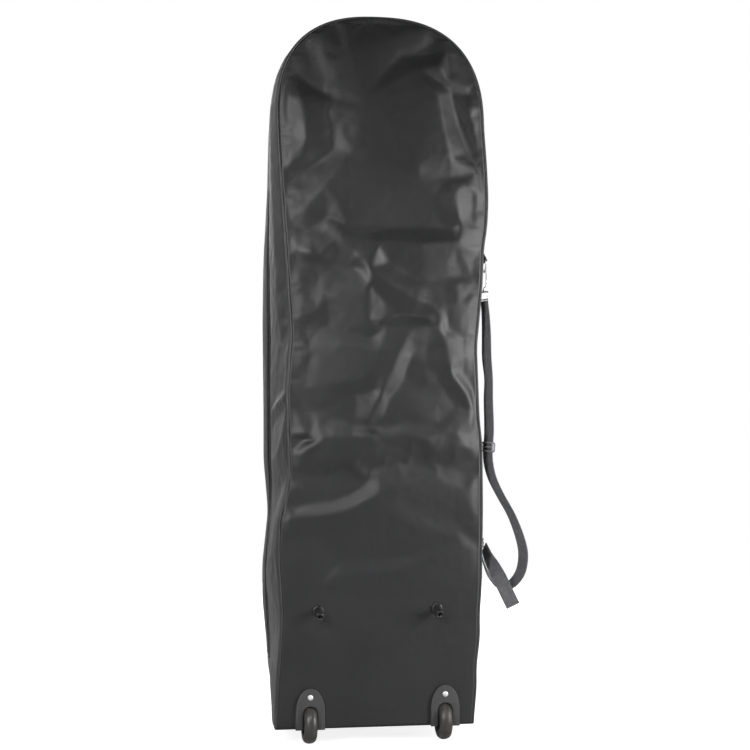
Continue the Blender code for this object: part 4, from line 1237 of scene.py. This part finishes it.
SWIVEL = (
    (0.0, 0.0040), (0.0020, 0.0038), (0.0027, 0.0030), (0.0027, 0.0008),
    (0.0022, 0.0002), (0.0, 0.0),
)


def tyre_profile():
    """A rounded tread over straight shoulders, down to the rim."""
    inner, shoulder, half = 0.0208, 0.0225, 0.0115
    crown = []
    for angle in np.radians(np.linspace(80, -80, 17)):
        bulge = 0.0250 + 0.0090 * math.cos(angle) ** 0.9
        crown.append((bulge, half * math.sin(angle) / math.sin(math.radians(80))))
    low = [(shoulder, -half), (inner, -half + 0.0007)]
    return [(inner, half - 0.0007), (shoulder, half)] + crown + low


def make_wheels():
    """The moulded housings with their rivets, the tyres, and the drooping bumper pegs."""
    half = HOUSING_HALF + 0.0004
    for side, word in SIDES:
        x = side * WHEEL_X
        turns = np.radians(np.linspace(0, 180, 41))
        rise = HOUSING_TOP - HOUSING_ARCH
        tab = [(x + half * math.cos(a), HOUSING_ARCH + rise * math.sin(a)) for a in turns]
        tab += [(x - half, HOUSING_LOW), (x - SLOT_HALF, HOUSING_LOW)]
        tab += arc(x, SLOT_ARCH, SLOT_HALF, 180, 0, 20)
        tab += [(x + SLOT_HALF, HOUSING_LOW), (x + half, HOUSING_LOW)]
        slab(
            f"housing_face_{word}", tab, BACK - 0.0042, BACK - 0.0001, "housing", "case",
            edge=0.0012,
        )
        lathe(
            f"rivet_{word}", RIVET_DOME, (x, BACK, RIVET_Z), (0, -1, 0), "rivet", "case", 40,
            replaces=[f"housing_rivet_{word}"],
        )
        lathe(
            f"tyre_tread_{word}", tyre_profile(), (x, WHEEL_Y, WHEEL_RADIUS), (1, 0, 0), "tyre",
            f"wheel_{word}", 72, replaces=[f"tyre_{word}"],
        )
        root = Vector((side * PEG_X, BACK, PEG_Z))
        lathe(
            f"peg_flange_{word}", PEG_FLANGE, root, (0, -1, 0), "black_plastic", "case", 40,
            replaces=[f"bumper_peg_{word}"],
        )
        droop = (0, -math.cos(PEG_DROOP), -math.sin(PEG_DROOP))
        start = root + Vector((0, -0.0018, 0))
        lathe(f"peg_bobbin_{word}", PEG_BOBBIN, start, droop, "black_plastic", "case", 40)


# ---------------------------------------------------------------- strap and metalwork

STRAP_ROUTE = (
    (0.1944, -0.1200, 0.7755, -15), (0.1968, -0.1205, 0.7450, -20),
    (0.1978, -0.1210, 0.7130, -25), (0.1983, -0.1215, 0.6750, -27),
    (0.2013, -0.1225, 0.6380, -22), (0.2010, -0.1225, 0.6000, -26),
    (0.2023, -0.1220, 0.5600, -28), (0.2023, -0.1210, 0.5350, -28),
    (0.2008, -0.1205, 0.5160, -28), (0.2013, -0.1205, 0.4900, -28),
    (0.2078, -0.1215, 0.4620, -24), (0.2218, -0.1230, 0.4320, -20),
    (0.2418, -0.1250, 0.3960, -20), (0.2568, -0.1260, 0.3580, -24),
    (0.2638, -0.1260, 0.3250, -28), (0.2588, -0.1255, 0.2930, -28),
    (0.2423, -0.1245, 0.2720, -26), (0.2218, -0.1230, 0.2690, -24),
    (0.2060, -0.1130, 0.2850, -20), (0.1975, -0.0990, 0.3100, -15),
    (0.1946, -0.0850, 0.3335, -15),
)
TAIL_ROUTE = (
    (0.2015, -0.0890, 0.3360, -12), (0.2048, -0.1040, 0.3190, -30),
    (0.2098, -0.1240, 0.3040, -55), (0.2160, -0.1390, 0.2880, -72),
    (0.2255, -0.1460, 0.2660, -80), (0.2400, -0.1480, 0.2360, -82),
)
STRAP_SLIDER_INDEX = 8


def webbing_ways(route):
    """The directions across a webbing and out of its face, from its turn about its length."""
    points, turn = route[:, :3], np.radians(route[:, 3])
    ahead = unit(np.gradient(points, axis=0))
    sideways = unit(np.cross(ahead, (0.0, 1.0, 0.0)))
    flat = unit(np.cross(sideways, ahead))
    across = flat * np.cos(turn)[:, None] + sideways * np.sin(turn)[:, None]
    return across, np.cross(across, ahead)


def make_strap():
    """The carrying strap with its loose tail, length slider and the metalwork at both ends."""
    route = smooth_route(STRAP_ROUTE, 0.0035)
    path = route[:, :3]
    across, out = webbing_ways(route)
    section = ribbon_section(WEBBING_WIDTH, WEBBING)
    strap = sweep(
        "carry_strap", path, across, out, section, "webbing", "case",
        replaces=["shoulder_strap"],
    )
    loose = smooth_route(TAIL_ROUTE, 0.0035)
    pieces = [sweep(
        "carry_strap_tail", loose[:, :3], *webbing_ways(loose), section, "webbing", "case",
        replaces=["strap_tail"],
    )]
    here = np.array(STRAP_ROUTE[STRAP_SLIDER_INDEX][:3])
    spot = int(np.argmin(np.linalg.norm(path - here, axis=1)))
    pieces += make_adjuster(here, across[spot], out[spot])
    for word, ring_y, ring_z in RINGS:
        pieces += make_hook(word, ring_y, ring_z)


def make_adjuster(here, across, out):
    """The length slider: a ring before and behind the webbing, and a bar across it."""
    half_wide, half_tall, round_by = 0.0146, 0.0076, 0.0030
    up = unit(np.cross(across, out))
    ring = []
    for turn, (side, rise) in enumerate(((1, 1), (-1, 1), (-1, -1), (1, -1))):
        centre = side * (half_wide - round_by), rise * (half_tall - round_by)
        ring += arc(*centre, round_by, turn * 90, turn * 90 + 90, 5)
    front = np.array([here + across * p + up * q + out * 0.0024 for p, q in ring])
    bar = np.array([here + across * p + out * 0.0026 for p in np.linspace(-0.0140, 0.0140, 6)])
    behind = front - out * 0.0048
    return [
        tube(
            "strap_adjuster", front, 0.0016, "pale_plastic", "case", closed=True,
            replaces=["strap_slider"],
        ),
        tube("strap_adjuster_bar", bar, 0.0015, "pale_plastic", "case"),
        tube("strap_adjuster_back", behind, 0.0015, "pale_plastic", "case", closed=True),
    ]


def make_hook(word, ring_y, ring_z):
    """The sewn tab, D-ring, swivel hook, gate and webbing loop at one end of the strap."""

    def wire(name, points, replaced, body="case", radius=RING_WIRE, closed=False):
        points = np.array(points)
        return tube(name, points, radius, "nickel", body, closed=closed, replaces=[replaced])

    half, wide, steps = 0.0150, 0.0043, 24
    ring = [(RING_X, ring_y + half - 0.001, ring_z), (RING_X, ring_y - half + 0.001, ring_z)]
    for i in range(1, steps):
        angle = math.pi * i / steps
        ring.append((RING_X, ring_y - half * math.cos(angle), ring_z - RING_DROP * math.sin(angle)))
    made = [wire(f"ring_{word}", ring, f"d_ring_{word}", closed=True)]

    fold = [(HALF + 0.0011, 0.035), (HALF + 0.0016, 0.016), (HALF + 0.0040, 0.006)]
    fold += [(HALF + 0.0062, 0.0015), (HALF + 0.0068, -0.0010), (RING_X, -0.0030)]
    fold += [(RING_X + 0.0024, -0.0012), (RING_X + 0.0024, 0.0015), (RING_X + 0.0002, 0.0060)]
    fold += [(HALF + 0.0050, 0.0150), (HALF + 0.0034, 0.0350)]
    route = smooth_route([(x, ring_y, ring_z + z) for x, z in fold], 0.0015)
    made.append(band(
        f"tab_{word}", route, (0.0, 1.0, 0.0), 0.0230, 0.0014, "case", [f"ring_tab_{word}"]
    ))

    top = ring_z - RING_DROP
    path = [(-wide, -0.0080), (-wide, -0.0045)] + arc(0, -0.0010, wide, 180, 0, 14)
    path += [(wide, -0.0080), (wide, -0.0160), (wide, -0.0210), (wide * 0.8, -0.0245)]
    path += [(0.0008, -0.0265), (0, -0.0280), (0, -0.0302)]
    points = smooth_route([(RING_X + x, ring_y, top + z) for x, z in path], 0.0010)
    made.append(wire(f"hook_{word}", points, f"strap_hook_{word}"))
    gate = [(RING_X - wide, ring_y, top + z) for z in np.linspace(-0.0215, -0.0086, 8)]
    made.append(wire(f"gate_{word}", gate, f"hook_gate_{word}", f"gate_{word}", 0.0012))

    turn = math.radians(-75)
    across = np.array((math.cos(turn), math.sin(turn), 0)) * 0.0145
    centre = np.array((RING_X, ring_y, top))
    corners = [(1, -0.0360), (1, -0.0465), (0.9, -0.0480), (-0.9, -0.0480), (-1, -0.0465)]
    corners += [(-1, -0.0360), (-0.9, -0.0345), (0.9, -0.0345)]
    loop = []
    for (p, q), (r, s) in zip(corners, corners[1:] + corners[:1]):
        for t in np.linspace(0, 1, 6, endpoint=False):
            loop.append(centre + across * (p + (r - p) * t) + (0, 0, q + (s - q) * t))
    made.append(wire(f"loop_{word}", loop, f"webbing_loop_{word}", closed=True))
    low = centre + (0, 0, -0.0342)
    made.append(lathe(f"swivel_{word}", SWIVEL, low, (0, 0, 1), "nickel", "case", 24))
    return made


# ---------------------------------------------------------------- flap's furniture


def make_pocket():
    """The shoe pocket: a slack sheet on the flap, bound round three sides."""
    low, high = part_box("shoe_pocket")
    radius, belly_top, inset = 0.030, 0.535, 0.0045
    z = np.linspace(low.z, high.z, 70)[:, None]
    u = np.linspace(-1, 1, 48)[None, :]
    near_top = np.clip((z - (high.z - radius)) / radius, 0, 1)
    x = u * (high.x - radius * (1 - np.sqrt(np.maximum(1 - near_top**2, 0))))
    z = np.broadcast_to(z, x.shape)
    rim = np.minimum(np.minimum(high.x - np.abs(x), z - low.z), high.z - z)
    puff = smoothstep(rim, 0.0, 0.012) * 0.0030
    belly = np.sin(np.pi * np.clip((z - low.z) / (belly_top - low.z), 0, 1)) ** 0.8
    puff = puff + 0.010 * belly * (1 - np.abs(u) ** 3) * smoothstep(rim, 0.0, 0.05)
    puff = puff + 0.0014 * belly * rumple(x, z, 24.0, 90.0, ridged=True)
    cloth_piece(
        "pocket_cloth", np.stack((x, FRONT + 0.0012 + puff, z), -1), "flap",
        uv=np.stack((x, z), -1), replaces=["shoe_pocket"],
    )
    corner = arc(high.x - radius, high.z - radius, radius, 0, 90, 10)
    edge = [(-high.x, low.z), (-high.x, high.z - radius)] + [(-px, pz) for px, pz in corner]
    edge += corner[::-1] + [(high.x, low.z)]
    line = np.array([(px, FRONT + 0.0016, pz) for px, pz in edge])
    run = travelled(line)
    line = sampled(line, run, np.linspace(0, run[-1], int(run[-1] / 0.004) + 1))
    tube("pocket_binding", line, 0.0016, "piping", "flap", sides=8)
    line[:, 0] *= 1 - inset / high.x
    line[:, 1] = FRONT + 0.0030
    line[:, 2] = low.z + (line[:, 2] - low.z) * (1 - inset / (high.z - low.z))
    stitches("pocket_thread", line, (0, 1, 0), "flap")


def make_pocket_zip():
    """The pocket's zip tape with its coil and its two seams."""
    low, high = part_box("pocket_zip_tape")
    middle, half = (low.z + high.z) / 2, 0.0075
    x = np.linspace(low.x, high.x, 80)
    gx, gz = np.meshgrid(x, np.linspace(low.z, high.z, 9))
    dip = 0.0004 * np.cos((gz - middle) / half * math.pi / 2)
    cloth_piece(
        "pocket_zip_cloth", np.stack((gx, low.y + 0.0002 + dip, gz), -1), "flap", "zip_tape",
        replaces=["pocket_zip_tape"], thickness=0.0008,
    )
    spots = np.arange(low.x + 0.004, high.x - 0.004, 0.0011)
    shift = np.where(np.arange(len(spots)) % 2, 0.0010, -0.0010)
    places = np.stack((spots, np.full(len(spots), high.y - 0.0004), middle + shift), -1)
    depth = np.broadcast_to((0.0, 0.0, 1.0), places.shape)
    outs = np.broadcast_to((0.0, 1.0, 0.0), places.shape)
    blocks("pocket_zip_coil", places, depth, outs, (0.0036, 0.0010, 0.0012), "zip_coil", "flap")
    for word, height in (("low", low.z + 0.003), ("high", high.z - 0.003)):
        line = [(place, high.y - 0.0002, height) for place in x]
        stitches(f"pocket_zip_{word}_thread", line, (0, 1, 0), "flap")


def make_handle_tabs():
    """Webbing folded round each end of the tow handle and sewn to the flap."""
    low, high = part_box("tow_handle")
    bar_y, bar_z = (low.y + high.y) / 2, high.z - HANDLE_BAR
    side = [(FRONT + 0.0014, bar_z + 0.0215), (FRONT + 0.0015, bar_z + 0.0150)]
    side += [(FRONT + 0.0030, bar_z + 0.0100)]
    side += arc(bar_y, bar_z, HANDLE_BAR + 0.0014, 115, -105, 16)
    side += [(FRONT + 0.0036, bar_z - 0.0076), (FRONT + 0.0016, bar_z - 0.0100)]
    for _, word in SIDES:
        low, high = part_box(f"handle_tab_{word}")
        middle, width = (low.x + high.x) / 2, high.x - low.x
        route = smooth_route([(middle, y, z) for y, z in side], 0.0012)
        band(
            f"handle_loop_{word}", route, (1.0, 0.0, 0.0), width, 0.0014, "flap",
            [f"handle_tab_{word}"],
        )


def make_cinches():
    """The buckled straps that hold the golf bag, inside."""
    corner, sag = 0.006, 0.003
    for word, z in (("lower", 0.500), ("upper", 0.900)):
        low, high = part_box(f"cinch_strap_{word}")
        right = float(slouch(HALF, z, BACK)) - 0.008
        left = -float(slouch(-HALF, z, BACK)) - 0.008
        x = np.linspace(-left, right, 120)
        height = z - sag * (1 - (2 * (x + left) / (left + right) - 1) ** 2)
        points = np.stack((x, low.y + 0.0018 + 0.0010 * np.cos(x * 60), height), -1)
        band(
            f"cinch_webbing_{word}", points, (0.0, 0.0, 1.0), WEBBING_WIDTH, 0.0016, "case",
            [f"cinch_strap_{word}"],
        )
        low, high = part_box(f"cinch_buckle_{word}")
        cx, cz = (low.x + high.x) / 2, (low.z + high.z) / 2 - sag
        half, tall = (high.x - low.x) / 2, (high.z - low.z) / 2
        rim = []
        for turn, (side, rise) in enumerate(((1, 1), (-1, 1), (-1, -1), (1, -1))):
            centre = cx + side * (half - corner), cz + rise * (tall - corner)
            rim += arc(*centre, corner, turn * 90, turn * 90 + 90, 6)
        slot = [(cx - half + 0.0035, cz - 0.0125), (cx - half + 0.0065, cz - 0.0125)]
        slot += [(cx - half + 0.0065, cz + 0.0125), (cx - half + 0.0035, cz + 0.0125)]
        mirror = [(2 * cx - px, pz) for px, pz in reversed(slot)]
        prong = [(cx - 0.009, cz - 0.0035), (cx + 0.006, cz - 0.0035)]
        prong += [(cx + 0.006, cz + 0.0035), (cx - 0.009, cz + 0.0035)]
        slab(
            f"cinch_clasp_{word}", rim, low.y + 0.0014, high.y, "black_plastic", "case",
            holes=(slot, mirror, prong), edge=0.0009, replaces=[f"cinch_buckle_{word}"],
        )


def dress_cad():
    """Gives every CAD piece that stays visible its own worked material."""
    choice = {
        "housing": "housing", "wheel_hub": "housing", "axle": "nickel", "screw": "nickel",
        "front_foot": "black_plastic", "slider": "nickel", "pull": "nickel",
        "tow_handle": "black_plastic",
    }
    for name, node in frame["nodes"].items():
        for word, finish in choice.items():
            if word in name:
                node.data.materials.clear()
                node.data.materials.append(FINISH[finish].material)


def make_floor():
    """A pale floor, lit so that it meets the white room without an edge."""
    half = 2.6
    points = [(-half, -half, 0), (half, -half, 0), (half, half, 0), (-half, half, 0)]
    mesh = bpy.data.meshes.new("floor")
    mesh.from_pydata(points, [], [(0, 1, 2, 3)])
    material = bpy.data.materials.new("floor")
    material.use_nodes = True
    nodes = Nodes(material.node_tree)
    shader = material.node_tree.nodes["Principled BSDF"]
    shader.inputs["Base Color"].default_value = (0.60, 0.60, 0.60, 1.0)
    shader.inputs["Roughness"].default_value = 0.9
    shader.inputs["Specular IOR Level"].default_value = 0.1
    shader.inputs["Emission Color"].default_value = (1.0, 1.0, 1.0, 1.0)
    seen = nodes.node("ShaderNodeLightPath").outputs["Is Camera Ray"]
    nodes.link(nodes.math("MULTIPLY", seen, 0.85), shader.inputs["Emission Strength"])
    mesh.materials.append(material)
    add_object("floor", mesh)


make_floor()
make_strap()
make_back()
make_sides()
make_piping()
make_zip()
make_front()
make_kick_panel()
make_hinge_binding()
make_base()
make_back_stiffener()
make_arch_padding()
make_wheels()
make_pocket()
make_pocket_zip()
make_cinches()
make_handle_tabs()
dress_cad()
